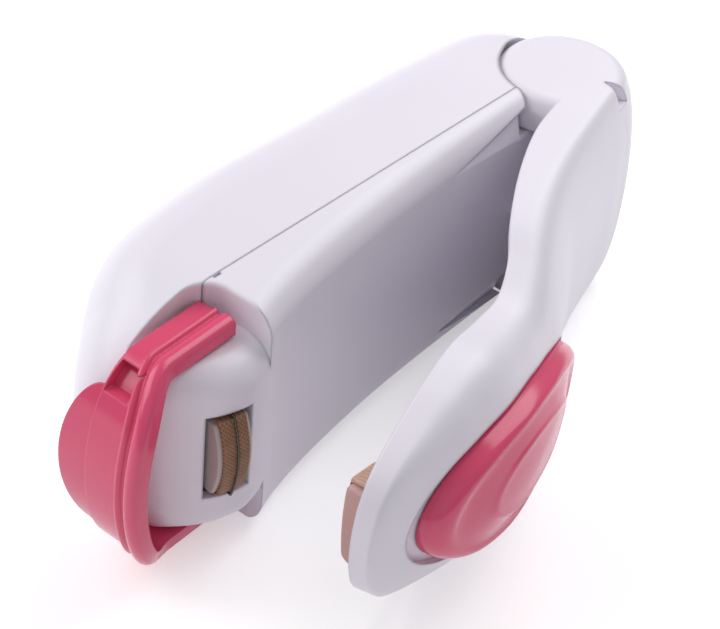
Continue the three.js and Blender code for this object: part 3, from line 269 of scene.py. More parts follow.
# %% Moulded plastics
white_abs, shader = new_material("White ABS, satin moulded", "#EEE9F4", 0.34, IOR=1.53)
moulded_skin(white_abs, shader, "#F1ECF7", "#E9E4F0", 0.5, 0.10, 0.30, 0.40, 0.6)
pink_abs, shader = new_material("Pink ABS, gloss moulded", "#E2476F", 0.24, IOR=1.53)
moulded_skin(pink_abs, shader, "#E8527A", "#DF4871", 0.6, 0.06, 0.14, 0.20, 0.3)
inner_abs, shader = new_material("White ABS, matt inside", "#DDD8E0", 0.55, IOR=1.53)
moulded_skin(inner_abs, shader, "#E0DBE4", "#D5D0D9", 0.4, 0.2, 0.5, 0.6)

# %% [markdown]
# Heat-proof parts: the carrier is a sand-coloured filled moulding, the strips are glass cloth with a brown
# non-stick coating whose plain weave shows at about 0.3 mm per thread, and the press pad is matt silicone.

# %% Heat-proof materials
def woven(name, thread_mm, high, low, tilt):
    """Plain weave: two crossed sine bands in Object coordinates, one thread over the other in turn."""
    material, shader = new_material(name, high, 0.55, IOR=1.45)
    place_node = add(material, "ShaderNodeTexCoord")
    turned_place = add(material, "ShaderNodeMapping", {"Vector": place_node.outputs["Object"]})
    turned_place.inputs["Rotation"].default_value = (0, 0, tilt)
    apart = add(material, "ShaderNodeSeparateXYZ", {"Vector": turned_place.outputs["Vector"]})
    rate = math.pi / (thread_mm * MM)
    bands = []
    for axis in ("X", "Z"):
        angle = add(material, "ShaderNodeMath", {0: apart.outputs[axis]}, operation="MULTIPLY")
        angle.inputs[1].default_value = rate
        bands.append(add(material, "ShaderNodeMath", {0: angle.outputs[0]}, operation="SINE"))
    sockets = {0: bands[0].outputs[0], 1: bands[1].outputs[0]}
    weave = add(material, "ShaderNodeMath", sockets, operation="MULTIPLY")
    height = add(material, "ShaderNodeMapRange", {"Value": weave.outputs[0]}, From_Min=-1.0, From_Max=1.0)
    spot = {"Vector": place_node.outputs["Object"]}
    stain = add(material, "ShaderNodeTexNoise", spot, Scale=900.0, Detail=4.0)
    sockets = {0: height.outputs["Result"], 1: stain.outputs["Fac"]}
    tone = add(material, "ShaderNodeMath", sockets, operation="MULTIPLY")
    colour = add(material, "ShaderNodeMix", {"Factor": tone.outputs[0]}, data_type="RGBA")
    colour.inputs[6].default_value = linear(low)
    colour.inputs[7].default_value = linear(high)
    rise = {"Height": height.outputs["Result"]}
    bump = add(material, "ShaderNodeBump", rise, Strength=0.8, Distance=0.08 * MM)
    material.node_tree.links.new(colour.outputs[2], shader.inputs["Base Color"])
    material.node_tree.links.new(bump.outputs["Normal"], shader.inputs["Normal"])
    return material


heater_weave = woven("Coated glass cloth, heater", 0.3, "#C49A78", "#77503A", math.radians(12))
press_weave = woven("Coated glass cloth, press pad", 0.3, "#E6CBBC", "#B98F7C", math.radians(-13.3))
carrier, shader = new_material("Filled heat-proof moulding", "#C4B8B4", 0.6, IOR=1.5)
moulded_skin(carrier, shader, "#CBC0BC", "#B5A9A5", 0.3, 0.3, 0.5, 0.65)
silicone, shader = new_material("Silicone rubber, matt", "#CFA8A2", 0.65, IOR=1.41, Subsurface_Weight=0.1,
                                Subsurface_Radius=(0.001, 0.0005, 0.0003))
moulded_skin(silicone, shader, "#D3ADA7", "#C59D97", 0.5, 0.2, 0.6, 0.72)

# %% [markdown]
# Small metal parts stay as the solids give them: drawn steel, stamped brass and nickel-plated strips. A metal
# keeps the default IOR, and its look comes from the base colour and a streaky roughness.

# %% Metals, sleeves and leads
def metal(name, colour, roughness, streak_mm):
    """A metal whose roughness varies in streaks drawn out along Z."""
    material, shader = new_material(name, colour, roughness, Metallic=1.0)
    place_node = add(material, "ShaderNodeTexCoord")
    stretched = add(material, "ShaderNodeMapping", {"Vector": place_node.outputs["Object"]})
    stretched.inputs["Scale"].default_value = (1, 1, 0.08)
    streaks = add(material, "ShaderNodeTexNoise", {"Vector": stretched.outputs["Vector"]},
                  Scale=1 / (streak_mm * MM), Detail=4.0)
    spread = add(material, "ShaderNodeMapRange", {"Value": streaks.outputs["Fac"]},
                 To_Min=roughness - 0.08, To_Max=roughness + 0.1)
    material.node_tree.links.new(spread.outputs["Result"], shader.inputs["Roughness"])
    return material


drawn_steel = metal("Drawn steel", "#B9BABD", 0.3, 0.3)
nickel = metal("Nickel-plated strip", "#CFC9BF", 0.22, 0.4)
brass = metal("Stamped brass", "#CFAE62", 0.32, 0.3)
heater_alloy = metal("Nickel-chrome wire, oxidised", "#5A524C", 0.42, 0.2)
red_sheath, shader = new_material("Red lead sheath", "#A32B2B", 0.45, IOR=1.5)
moulded_skin(red_sheath, shader, "#A83030", "#982525", 0.2, 0.2, 0.4, 0.5)
black_sheath, shader = new_material("Black lead sheath", "#26262A", 0.45, IOR=1.5)
moulded_skin(black_sheath, shader, "#2B2B30", "#202024", 0.2, 0.2, 0.4, 0.5)
cell_film, shader = new_material("Cell sleeve, shrunk film", "#3F5E48", 0.3, IOR=1.5, Coat_Weight=0.4)
moulded_skin(cell_film, shader, "#44654D", "#395641", 0.8, 0.1, 0.25, 0.35)

finish_of = {
    "battery_tray": inner_abs, "lever_liner": inner_abs, "heater_bracket": inner_abs,
    "switch_plunger": inner_abs, "heater_block": carrier, "heater_cloth": heater_weave,
    "heater_wire": heater_alloy, "heater_clip_upper": brass, "heater_clip_lower": brass,
    "contact_leaf": brass, "contact_fixed": brass, "positive_tab": nickel, "negative_tab": nickel,
    "bridge_plate": nickel, "press_pad": silicone, "press_cloth": press_weave, "cell_upper": cell_film,
    "cell_lower": cell_film, "lead_negative": black_sheath, "lead_switch": red_sheath,
    "lead_positive": red_sheath, "main_case": white_abs, "battery_cover": white_abs,
    "lever_shell": white_abs, "lock_clip": pink_abs, "thumb_pad": pink_abs,
}
for name, node in nodes.items():
    node.data.materials.clear()
    node.data.materials.append(finish_of.get(name, drawn_steel))
print("finishes", len(set(finish_of.values()) | {drawn_steel}))

# %% [markdown]
# ## Body
# Both halves are one side-view table each, swept along X. Across, the cover is a flat-sided arch with wide
# elliptical corners, and the inner case is the same with tight corners. The tables hold shares of the height.

# %% Body tables and rings
COVER_TOP = [
    [-1, 0.08], [-0.982, 0.25], [-0.921, 0.4], [-0.818, 0.585], [-0.684, 0.785], [-0.553, 0.905],
    [-0.415, 0.96], [-0.195, 1], [0.006, 0.995], [0.2, 0.98], [0.4, 0.97], [0.583, 0.955], [0.76, 0.925],
    [0.9, 0.85], [0.96, 0.77], [0.985, 0.67], [1, 0.5],
]
CASE_FACE = [
    [-0.985, 0.07], [-0.95, 0.19], [-0.889, 0.5], [-0.797, 0.84], [-0.696, 1], [-0.63, 0.97], [-0.522, 0.81],
    [-0.392, 0.67], [-0.217, 0.54], [0, 0.42], [0.2, 0.34], [0.4, 0.28], [0.6, 0.24], [0.78, 0.22],
]
COVER_CORNER = (12.0, 11.0)
CASE_CORNER = 4.0
NOSE_ROUNDING = 20.0
TAIL_ROUNDING = 14.0
TAIL_FLAT = 37.6
TAIL_SHARE = 0.87
NOSE_POWER = 2.2
NARROWEST = 0.05
CASE_SHOULDER = 33.2
CASE_NOSE = 0.985
CORNER_LIMITS = (0.8, 0.85)
FLAT_COLUMNS = 11
NOSE_STATIONS_END = -20
STATION_POWER = 1.8


def body_share(x):
    """Place along the body: -1 at the nose, 0 at the middle and 1 at the tail."""
    return np.where(x < 0, x / NOSE_REACH, x / TAIL_REACH)


def cover_top(x):
    """Level of the cover's top: the table's share of the height."""
    return COVER_HEIGHT * smooth_rows(COVER_TOP, body_share(x))[:, 0]


def case_face(x):
    """Level of the case's face: minus the table's share of the depth."""
    return -CASE_DEPTH * smooth_rows(CASE_FACE, body_share(x))[:, 0]


def half_width(x):
    """Half width in plan: a superellipse at the nose and another, drawn in less, at the tail."""
    nose = (NOSE_ROUNDING - NOSE_REACH - x) / NOSE_ROUNDING
    tail = TAIL_SHARE * (x - TAIL_FLAT) / TAIL_ROUNDING
    share = np.clip(np.maximum(nose, tail), 0, 1)
    return HALF_WIDTH * np.maximum((1 - share**NOSE_POWER) ** (1 / NOSE_POWER), NARROWEST)


def arch_grid(x, across, level, corner, base, steps=14):
    """Rings at x: upright sides, quarter-ellipse corners of the given size, and a flat between them."""
    turn = np.linspace(0, np.pi / 2, steps + 1)
    corner_z = np.minimum(corner[0], across * CORNER_LIMITS[0])[:, None]
    corner_y = np.minimum(corner[1], np.abs(level - base) * CORNER_LIMITS[1])[:, None]
    way = np.sign(level - base)[:, None]
    side_z = across[:, None] - corner_z * (1 - np.cos(turn))
    side_y = level[:, None] - way * corner_y * (1 - np.sin(turn))
    foot = np.full((len(x), 1), base)
    flat_z = side_z[:, -1:] * np.linspace(1, -1, FLAT_COLUMNS + 2)[1:-1]
    flat_y = np.repeat(side_y[:, -1:], FLAT_COLUMNS, axis=1)
    z = np.hstack([across[:, None], side_z, flat_z, -side_z[:, ::-1], -across[:, None]])
    y = np.hstack([foot, side_y, flat_y, side_y[:, ::-1], foot])
    return np.stack([np.broadcast_to(x[:, None], z.shape), y, z], axis=-1)


def stations(start, end, nose=44, middle=40, tail=30):
    """Places along X, close together where the plan turns in at the nose and the tail."""
    nose_end = np.minimum(NOSE_STATIONS_END, end)
    front = start + (nose_end - start) * np.linspace(0, 1, nose) ** STATION_POWER
    if end > TAIL_FLAT:
        back = end - (end - TAIL_FLAT) * np.linspace(1, 0, tail) ** STATION_POWER
    else:
        back = np.array([end])
    return np.unique(np.concatenate([front, np.linspace(NOSE_STATIONS_END, back[0], middle), back]))


def cover_body(name, inset, base):
    """The cover's arch from its foot level up, drawn in by the inset on all sides."""
    x = stations(-NOSE_REACH + inset, TAIL_REACH - inset)
    corner = (COVER_CORNER[0] - inset, COVER_CORNER[1] - inset)
    return tube_object(name, arch_grid(x, half_width(x) - inset, cover_top(x) - inset, corner, base))


def case_body(name, inset, base, widest=HALF_WIDTH):
    """The case's shallow arch from its foot level down, drawn in by the inset and cut off at a half width."""
    x = stations(-NOSE_REACH * CASE_NOSE + inset, CASE_SHOULDER - inset)
    across = np.minimum(half_width(x), widest) - inset
    return tube_object(name, arch_grid(x, across, case_face(x) + inset, (CASE_CORNER, CASE_CORNER), base))


# %% [markdown]
# The clip's arms lie in recesses beside the nose, and the lever's cheeks turn in round seats at the tail.
# Both are cut with the same tools from both halves, so that their edges meet at the seam.

# %% Recesses and seats
LOCK = np.array([-31.5, -2.5, 0.0])
LOCK_HALF = 15.0
LOCK_WALL = 1.7
LOCK_GAP = 0.4
ARM_TAIL = 2.3
ARM_TOP = 3.3
RECESS_FLOOR = LOCK_HALF - LOCK_WALL - LOCK_GAP
RUNNING_GAP = 0.3
RECESS_RADIUS = math.hypot(ARM_TAIL, ARM_TOP) + RUNNING_GAP
RECESS_WALL = 1.2
RECESS_EDGE = 0.6
CHEEK_RADIUS = 7.7
BARREL_RISE = 3.5
CROWN_POWER = 2.2
KNUCKLE_HALF = 12.0
KNUCKLE_RADIUS = 7.7
SEAT_GAP = 0.9
SEAT_WALL = 0.9
OVERRUN = 1
FLUSH_OVERRUN = 0.05
POLE = 0.001


def recess_tools(extra=0.0):
    """One a side: the outline round the pivot, widening as a quarter circle to the surface, less the nose."""
    share = np.linspace(0, 1, 13)
    inner = RECESS_FLOOR - CASE_CORNER - extra
    depth = np.concatenate([[inner], HALF_WIDTH - RECESS_EDGE * (1 - share), [HALF_WIDTH + OVERRUN]])
    grown = extra + RECESS_EDGE * np.concatenate([[0], 1 - np.sqrt(1 - share**2), [1]])
    turn = np.linspace(np.pi / 2, 0, 33)
    radius = RECESS_RADIUS + grown[:, None]
    front = np.full_like(radius, -NOSE_REACH - OVERRUN)
    bottom = np.full_like(radius, -2 * CASE_DEPTH)
    x = np.hstack([front, front, LOCK[0] + radius * np.cos(turn), LOCK[0] + radius])
    y = np.hstack([bottom, LOCK[1] + radius, LOCK[1] + radius * np.sin(turn), bottom])
    tools = []
    for side in (1, -1):
        z = side * np.broadcast_to(depth[:, None], x.shape)
        tool = tube_object("recess", np.stack([x, y, z], axis=-1))
        nose_top = LOCK[1] + RECESS_RADIUS + RECESS_EDGE + extra + OVERRUN
        tools.append(combine(tool, case_body("nose", extra, nose_top, RECESS_FLOOR), "DIFFERENCE"))
    return tools


def barrel_radius(z, extra=0.0, edge=0.0):
    """The lever's own half-ellipse section turned round the pin, with the rim of its ends rounded off."""
    across = np.clip(np.abs(z) / HALF_WIDTH, 0, 1)
    radius = CHEEK_RADIUS + extra + BARREL_RISE * np.sqrt(1 - across**CROWN_POWER)
    if edge:
        share = np.clip((np.abs(z) - HALF_WIDTH + edge) / edge, 0, 1)
        radius = radius - edge * (1 - np.sqrt(1 - share**2))
    return radius


def barrel_object(name, low, high, extra=0.0, edge=0.0, steps=40):
    """The barrel between two Z levels, with rings that lie closer together towards its ends."""
    middle = (low + high) / 2
    z = middle + (high - low) / 2 * np.sin(np.linspace(-np.pi / 2, np.pi / 2, steps))
    return turned_object(name, [POLE, *barrel_radius(z, extra, edge), POLE], [low, *z, high], HINGE)


def seat_tools(extra=0.0):
    """One barrel for each cheek to turn in, from just inside the knuckle's end to past the side."""
    low, high = KNUCKLE_HALF - FLUSH_OVERRUN + extra, HALF_WIDTH + OVERRUN
    return [barrel_object("seat", *ends, SEAT_GAP + extra) for ends in ((low, high), (-high, -low))]


def disc_object(name, radius, low, high, centre, steps=96):
    """An upright disc or pin between two Z levels."""
    return turned_object(name, [POLE, radius, radius, POLE], [low, low, high, high], centre, steps)


# %% [markdown]
# The battery cover is the big arch, hollowed to an even wall. Around the clip's recess the wall turns
# inwards.

# %% Battery cover
base = PARTING_Y + SEAM_GAP
hollow = cover_body("hollow", WALL, base - OVERRUN)
for tool in [*recess_tools(RECESS_WALL), *seat_tools(SEAT_WALL)]:
    combine(hollow, tool, "DIFFERENCE")
cover = combine(cover_body("cover_skin", 0, base), hollow, "DIFFERENCE")
past_side = HALF_WIDTH + OVERRUN
knuckle_room = disc_object("knuckle", KNUCKLE_RADIUS + SEAT_GAP, -past_side, past_side, HINGE)
for tool in [knuckle_room, *seat_tools(), *recess_tools()]:
    combine(cover, tool, "DIFFERENCE")
dress(cover, white_abs, "cover", "battery_cover", 35)
print("cover faces", len(cover.data.polygons))

# %% [markdown]
# The main case is the shallow half. Its face bulges at the nose, where the heater looks out of a window,
# and two shallow scoops run to the hinge so that the lever's cheeks can pass.

# %% Main case
HEATER_X = -34.2
HEATER = np.array([HEATER_X, float(case_face(np.array([HEATER_X]))[0]), 0.0])
HEATER_TILT = math.radians(12)
LEVER_TRAVEL = math.radians(11)
PIN_BORE = 1.8
TONGUE_GAP = 2.5
SCOOP_STATIONS = ((15.8, 13.5, 0.4, 0.1), (CASE_SHOULDER, 16.3, 5.0, 2.1), (HINGE[0], 17.9, 7.0, 3.1))
NOTCH_GAP = 1.5
NOTCH_LENGTH = 1.3
NOTCH_DEPTH = 0.4
NOTCH_REACH = (16.1, 18.5)
WINDOW = ((-3.2, -2.3, -6.6), (3.2, 6.5, 6.6))


def heater_place(points):
    """Heater frame to working frame: turned by the tilt about Z, then moved to the window."""
    return turned(points, -HEATER_TILT) + HEATER


def scoop_tool(side):
    """A wedge with its steep face outwards: each station gives x, the outer edge, the width and the depth."""
    rings = []
    for x, outer, width, depth in SCOOP_STATIONS:
        face = float(case_face(np.array([min(x, CASE_SHOULDER)]))[0])
        inner = outer - width * (1 + depth) / depth
        proud = face - OVERRUN
        rings.append([[x, proud, side * outer], [x, face + depth, side * outer], [x, proud, side * inner]])
    return tube_object("scoop", np.array(rings))


def ring_object(name, outer, inner, low, high, centre, steps=96):
    """A turned ring with a rectangular section."""
    turn = np.linspace(0, 2 * np.pi, steps, endpoint=False)
    section = np.array([[outer, low], [outer, high], [inner, high], [inner, low]])
    grid = np.empty((steps, 4, 3))
    grid[..., 0] = centre[0] + section[:, 0] * np.cos(turn)[:, None]
    grid[..., 1] = centre[1] + section[:, 0] * np.sin(turn)[:, None]
    grid[..., 2] = section[:, 1]
    here = np.arange(steps * 4).reshape(steps, 4)
    there = np.roll(here, -1, axis=0)
    corners = [here, there, np.roll(there, -1, axis=1), np.roll(here, -1, axis=1)]
    quads = np.stack(corners, axis=-1).reshape(-1, 4)
    return outward(new_object(name, grid.reshape(-1, 3), quads.tolist()))


def press_place(points):
    """Heater frame to working frame on the open lever: placed with it shut, then swung out about the pin."""
    return turned(heater_place(points) - HINGE, LEVER_TRAVEL) + HINGE


def crowned_strip(name, place_by, across, half_long, face, back, drop, edge, shift=0.0, steps=48):
    """Rings along Z: the face falls by drop times the square of the place, and all its edges are rounded."""
    way = 1 if face > back else -1
    spot = np.sin(np.linspace(-np.pi / 2, np.pi / 2, steps))
    end = np.clip((np.abs(spot) * half_long - half_long + edge) / edge, 0, 1)
    top = face - way * (drop * spot**2 + edge * (1 - np.sqrt(1 - end**2)))
    turn = np.linspace(0, np.pi / 2, 8)
    side = across - edge * (1 - np.cos(turn))
    fall = way * edge * (1 - np.sin(turn))
    x = shift + np.concatenate([[-across], -side, side[::-1], [across]])
    level = np.hstack([top[:, None] - fall, top[:, None] - fall[::-1]])
    foot = np.full((steps, 1), back)
    y = np.hstack([foot, level, foot])
    z = np.broadcast_to((spot * half_long)[:, None], y.shape)
    return tube_object(name, place_by(np.stack([np.broadcast_to(x, y.shape), y, z], axis=-1)))


case_hollow = case_body("case_hollow", WALL, PARTING_Y + OVERRUN)
for tool in recess_tools(RECESS_WALL):
    combine(case_hollow, tool, "DIFFERENCE")
case = combine(case_body("case_skin", 0, PARTING_Y), case_hollow, "DIFFERENCE")
shoulder_y = float(case_face(np.array([CASE_SHOULDER]))[0])
tongue_low = [CASE_SHOULDER - WALL, shoulder_y, -KNUCKLE_HALF]
tongue_high = [HINGE[0] - TONGUE_GAP, PARTING_Y, KNUCKLE_HALF]
combine(case, box_object("tongue", tongue_low, tongue_high), "UNION")
combine(case, ring_object("knuckle", KNUCKLE_RADIUS, PIN_BORE, -KNUCKLE_HALF, KNUCKLE_HALF, HINGE), "UNION")
notch_end = LOCK[0] + RECESS_RADIUS + NOTCH_GAP
notches = []
for side in (1, -1):
    near, far = sorted([side * NOTCH_REACH[0], side * NOTCH_REACH[1]])
    notch_low = [notch_end - NOTCH_LENGTH, PARTING_Y - NOTCH_DEPTH, near]
    notches.append(box_object("notch", notch_low, [notch_end, PARTING_Y + OVERRUN, far]))
window = box_object("window", *WINDOW, heater_place)
for tool in [*recess_tools(), *notches, scoop_tool(1), scoop_tool(-1), window, *seat_tools()]:
    combine(case, tool, "DIFFERENCE")
dress(case, white_abs, "body", "main_case", 20)
print("case faces", len(case.data.polygons))

# %% [markdown]
# The heater is a crowned block with a strip of coated cloth over it and a flat-drawn wire along the middle,
# so that the bag is melted along one line. Each strip is the same crowned form, lifted by the cloth's
# thickness.

# %% Heater
CLOTH = 0.35
CLOTH_GAP = 0.1
CLOTH_LIFT = CLOTH + CLOTH_GAP
HEATER_PROUD = 1.3
HEATER_HALF = (2.5, 5.5)
HEATER_DROP = 1.3
HEATER_EDGE = 0.3
HEATER_BACK = 6.5
CLOTH_HALF = 1.95
CLOTH_BACK = 4.2
CLOTH_EDGE = 0.35
CLOTH_ROOM_HALF = 3.5
WIRE_RADIUS = 0.17
WIRE_LIFT = 0.2
WIRE_BACK = 4.0
WIRE_SIDES = 12

block = crowned_strip("heater_block_skin", heater_place, *HEATER_HALF, -HEATER_PROUD, HEATER_BACK,
                      HEATER_DROP, HEATER_EDGE)
dress(block, carrier, "body", "heater_block")
cloth_half = HEATER_HALF[1] + CLOTH_LIFT
cloth_face = -HEATER_PROUD - CLOTH_LIFT
cloth = crowned_strip("heater_cloth_skin", heater_place, CLOTH_HALF, cloth_half, cloth_face, CLOTH_BACK,
                      HEATER_DROP, CLOTH_EDGE)
inner = crowned_strip("cloth_room", heater_place, CLOTH_ROOM_HALF, HEATER_HALF[1] + CLOTH_GAP,
                      -HEATER_PROUD - CLOTH_GAP, HEATER_BACK + OVERRUN, HEATER_DROP, HEATER_EDGE)
dress(combine(cloth, inner, "DIFFERENCE"), heater_weave, "body", "heater_cloth")

# The wire is a round section carried along a line that bows over the cloth and turns down at both ends.
half = cloth_half + CLOTH_EDGE
spot = np.sin(np.linspace(-np.pi / 2, np.pi / 2, 60))
top = cloth_face - WIRE_LIFT + HEATER_DROP * spot**2
line_z = np.concatenate([[-half], spot * half, [half]])
line_y = np.concatenate([[WIRE_BACK], top, [WIRE_BACK]])
turn = np.linspace(0, 2 * np.pi, WIRE_SIDES, endpoint=False)
slope = np.gradient(np.stack([line_y, line_z], axis=-1), axis=0)
slope /= np.linalg.norm(slope, axis=1)[:, None]
wire_grid = np.stack([
    np.broadcast_to(WIRE_RADIUS * np.cos(turn), (len(line_z), WIRE_SIDES)),
    line_y[:, None] + WIRE_RADIUS * np.sin(turn) * slope[:, 1:],
    line_z[:, None] - WIRE_RADIUS * np.sin(turn) * slope[:, :1],
], axis=-1)
dress(tube_object("heater_wire_skin", heater_place(wire_grid)), heater_alloy, "body", "heater_wire")
print("heater faces", len(cloth.data.polygons) + len(block.data.polygons))

# %% [markdown]
# ## Lever
# The lever is a swept skin in its own frame, with the hinge at the origin and the tip towards -X. Each
# station has a rim, a side edge, a crown and a half width; across, the crown falls off with a power of the
# distance.

# %% Lever tables and skin
LEVER_REACH = 83.0
LEVER_DEPTH = 22.4
LEVER_WALL = 1.8
OPEN_ANGLE = math.radians(13.3)
RIM_FLAT = 0.54
RING_POWER = 0.9
LEVER = [
    [0, 0.12, 0.344, 0.5, 1], [0.04, 0.12, 0.343, 0.518, 1], [0.102, 0.13, 0.35, 0.536, 1],
    [0.19, 0.143, 0.36, 0.576, 1], [0.301, 0.23, 0.4, 0.652, 0.99], [0.404, 0.353, 0.47, 0.768, 0.93],
    [0.476, 0.473, 0.57, 0.857, 0.82], [0.548, 0.54, 0.64, 0.933, 0.735], [0.62, 0.54, 0.67, 0.987, 0.765],
    [0.717, 0.54, 0.68, 1, 0.85], [0.801, 0.54, 0.67, 0.96, 0.8], [0.86, 0.54, 0.67, 0.893, 0.72],
    [0.92, 0.54, 0.665, 0.804, 0.62], [0.96, 0.54, 0.66, 0.741, 0.51], [0.985, 0.54, 0.65, 0.696, 0.35],
    [0.996, 0.54, 0.645, 0.67, 0.19], [1, 0.54, 0.64, 0.656, 0.07],
]


def lever_place(points):
    """Lever frame to working frame: opened by the rest angle about the pin."""
    return turned(points, OPEN_ANGLE) + HINGE


def lever_sections(share):
    """Rim, side edge and crown levels and the half width at shares of the reach."""
    rows = smooth_rows(LEVER, share)
    rim, edge, crown = (-rows[:, column] * LEVER_DEPTH for column in range(3))
    return rim, edge, crown, np.minimum(rows[:, 3], 1) * HALF_WIDTH


def crown_drop(across):
    """Share of the drop from the crown to the side edge, by the place across."""
    return 1 - np.maximum(1 - np.abs(across) ** CROWN_POWER, 0) ** 0.5


def lever_back(x, z):
    """Level of the lever's back at places in plan."""
    rim, edge, crown, width = lever_sections(-np.asarray(x) / LEVER_REACH)
    return crown + (edge - crown) * crown_drop(z / width)


def lever_grid(start, end, inset, inner=None, count=110, across_steps=36):
    """Rings at shares of the reach: two feet, and a back that drops from the crown to the edge across."""
    share = start + (end - start) * np.sin(np.linspace(0, np.pi / 2, count)) ** RING_POWER
    rim, edge, crown, width = lever_sections(share)
    width = np.maximum(width - inset, NARROWEST)
    across = np.cos(np.linspace(0, np.pi, across_steps + 1))
    back = crown[:, None] + (edge - crown)[:, None] * crown_drop(across) + inset
    foot = rim if inner is None else np.full_like(rim, inner)
    y = np.hstack([foot[:, None], back, foot[:, None]])
    z = np.hstack([width[:, None], across * width[:, None], -width[:, None]])
    x = np.broadcast_to((-share * LEVER_REACH)[:, None], y.shape)
    return np.stack([x, y, z], axis=-1)


def lever_tube(name, *values, **options):
    """The lever's rings as a closed body."""
    return tube_object(name, lever_place(lever_grid(*values, **options)))


# %% [markdown]
# The thumb pad is an oval that narrows a little to the hinge. Rings of the oval shrink to its middle while
# they rise over the lever's back: a rounded edge, a shallow dish and a faint raised oval inside it.

# %% Thumb pad outline
PAD_MIDDLE = 55.9
PAD_HALF = (20.3, 8.9)
PAD_TAPER = -0.2
PAD_RISE = 2.2
PAD_SINK = 0.6
PAD_LIP = 0.5
PAD_TIP_LIP = 1.5
SEAT_START = 0.04


def pad_outline(extra=0.0, tip=0.0, count=128):
    """The oval in plan: its width tapers with the cosine of the turn, and its tip end may reach further."""
    turn = np.linspace(0, 2 * np.pi, count, endpoint=False)
    along = np.cos(turn)
    reach = PAD_HALF[0] + extra + np.where(along < 0, tip, 0)
    x = -PAD_MIDDLE + reach * along
    z = (PAD_HALF[1] + extra) * (1 + PAD_TAPER * along) * np.sin(turn)
    return x, z


def pad_prism(name, extra, tip):
    """The grown oval drawn through the lever's whole depth."""
    x, z = pad_outline(extra, tip)
    rings = [np.stack([x, np.full_like(x, y), z], axis=-1) for y in (0.0, -2 * LEVER_DEPTH)]
    return tube_object(name, lever_place(np.stack(rings)))


# %% [markdown]
# The pad's section is one table from its rim to its middle: each row gives the size of the oval there and the
# share of the full rise. A bead runs round the rim, then the dish falls, and the inner oval stands up again.

# %% Thumb pad
profile = np.array([
    [1, 0.1], [0.996, 0.32], [0.986, 0.55], [0.97, 0.75], [0.95, 0.9], [0.925, 0.98], [0.9, 1.0],
    [0.875, 0.97], [0.85, 0.9], [0.82, 0.84], [0.78, 0.81], [0.72, 0.82], [0.65, 0.87], [0.6, 0.91],
    [0.575, 0.93], [0.56, 0.97], [0.545, 1.01], [0.53, 1.04], [0.51, 1.04], [0.48, 1.01], [0.44, 0.99],
    [0.35, 0.98], [0.2, 0.99], [0.02, 1.0],
])
share = profile[:, 0]
rise = PAD_RISE * profile[:, 1]
x, z = pad_outline()
ring_x = -PAD_MIDDLE + share[:, None] * (x + PAD_MIDDLE)[None]
ring_z = share[:, None] * z[None]
level = lever_back(ring_x.ravel(), ring_z.ravel()).reshape(ring_x.shape)
top = np.stack([ring_x, level - rise[:, None], ring_z], axis=-1)
foot = np.stack([x, lever_back(x, z) + LEVER_WALL, z], axis=-1)[None]
pad = tube_object("pad_skin", lever_place(np.concatenate([foot, top])))
combine(pad, lever_tube("pad_seat", SEAT_START, 1, PAD_SINK, CHEEK_RADIUS), "DIFFERENCE")
dress(pad, pink_abs, "lever", "thumb_pad")
print("pad faces", len(pad.data.polygons))

# %% [markdown]
# The lever's shell joins the swept skin to a barrel round the pin, which is then opened on the case's side
# between its two solid cheeks. It is hollow on its inner side with a nub that works the switch, the pad's
# seat is sunk in its back, and a small wedge is cut from each side behind the hinge.

# %% Lever shell
CHEEK_EDGE = 0.8
HAIR = 0.01
OPENING_END = math.radians(-33)
CAVITY_END = 0.985
CHEEK_BLOCK = (-9.5, 7.7)
NUB_X = -11
NUB_RADIUS = 1.4
NUB_LEVELS = (-11, -1.91)
PRY_ANGLE = math.radians(-79)
PRY_WEDGE = [[6.4, -0.1], [13, -2.8], [13, 2.8], [6.4, 0.1]]
PRY_START = 14.8


def pry_place(points):
    """Hinge frame to working frame, with X turned to the wedge's direction."""
    return turned(points, PRY_ANGLE) + HINGE


cheek_start = KNUCKLE_HALF + RUNNING_GAP
shell = lever_tube("lever_skin", 0.0, 1, 0)
combine(shell, barrel_object("barrel", HAIR - HALF_WIDTH, HALF_WIDTH - HAIR, 0, CHEEK_EDGE, 64), "UNION")
reach = 2 * CHEEK_RADIUS
last_corner = [reach * math.cos(OPENING_END), reach * math.sin(OPENING_END)]
outline = [[0, 0], [-reach, 0], [-reach, reach], [reach, reach], last_corner]
combine(shell, prism("opening", outline, -cheek_start, cheek_start, lever_place), "DIFFERENCE")
cavity = lever_tube("cavity", 0.0, CAVITY_END, LEVER_WALL, CHEEK_RADIUS)
tail_x, top_y = CHEEK_BLOCK
outline = [[tail_x, -LEVER_DEPTH], [tail_x, top_y], [top_y, top_y], [top_y, -LEVER_DEPTH]]
for low, high in ((cheek_start + FLUSH_OVERRUN, HALF_WIDTH), (-HALF_WIDTH - FLUSH_OVERRUN, -cheek_start)):
    combine(cavity, prism("block", outline, low, high, lever_place), "DIFFERENCE")
combine(shell, cavity, "DIFFERENCE")
seat_floor = lever_tube("seat_floor", SEAT_START, 1, PAD_SINK + RUNNING_GAP, CHEEK_RADIUS)
combine(shell, combine(pad_prism("seat", PAD_LIP, PAD_TIP_LIP), seat_floor, "DIFFERENCE"), "DIFFERENCE")
space_half = cheek_start + 2 * HAIR
knuckle_space = disc_object("knuckle_space", KNUCKLE_RADIUS + RUNNING_GAP, -space_half, space_half, HINGE)
combine(shell, knuckle_space, "DIFFERENCE")
turn = np.linspace(0, 2 * np.pi, 48, endpoint=False)
nub_x, nub_z = NUB_X + NUB_RADIUS * np.cos(turn), NUB_RADIUS * np.sin(turn)
nub = np.stack([np.column_stack([nub_x, np.full_like(turn, level), nub_z]) for level in NUB_LEVELS])
combine(shell, tube_object("switch nub", lever_place(nub)), "UNION")
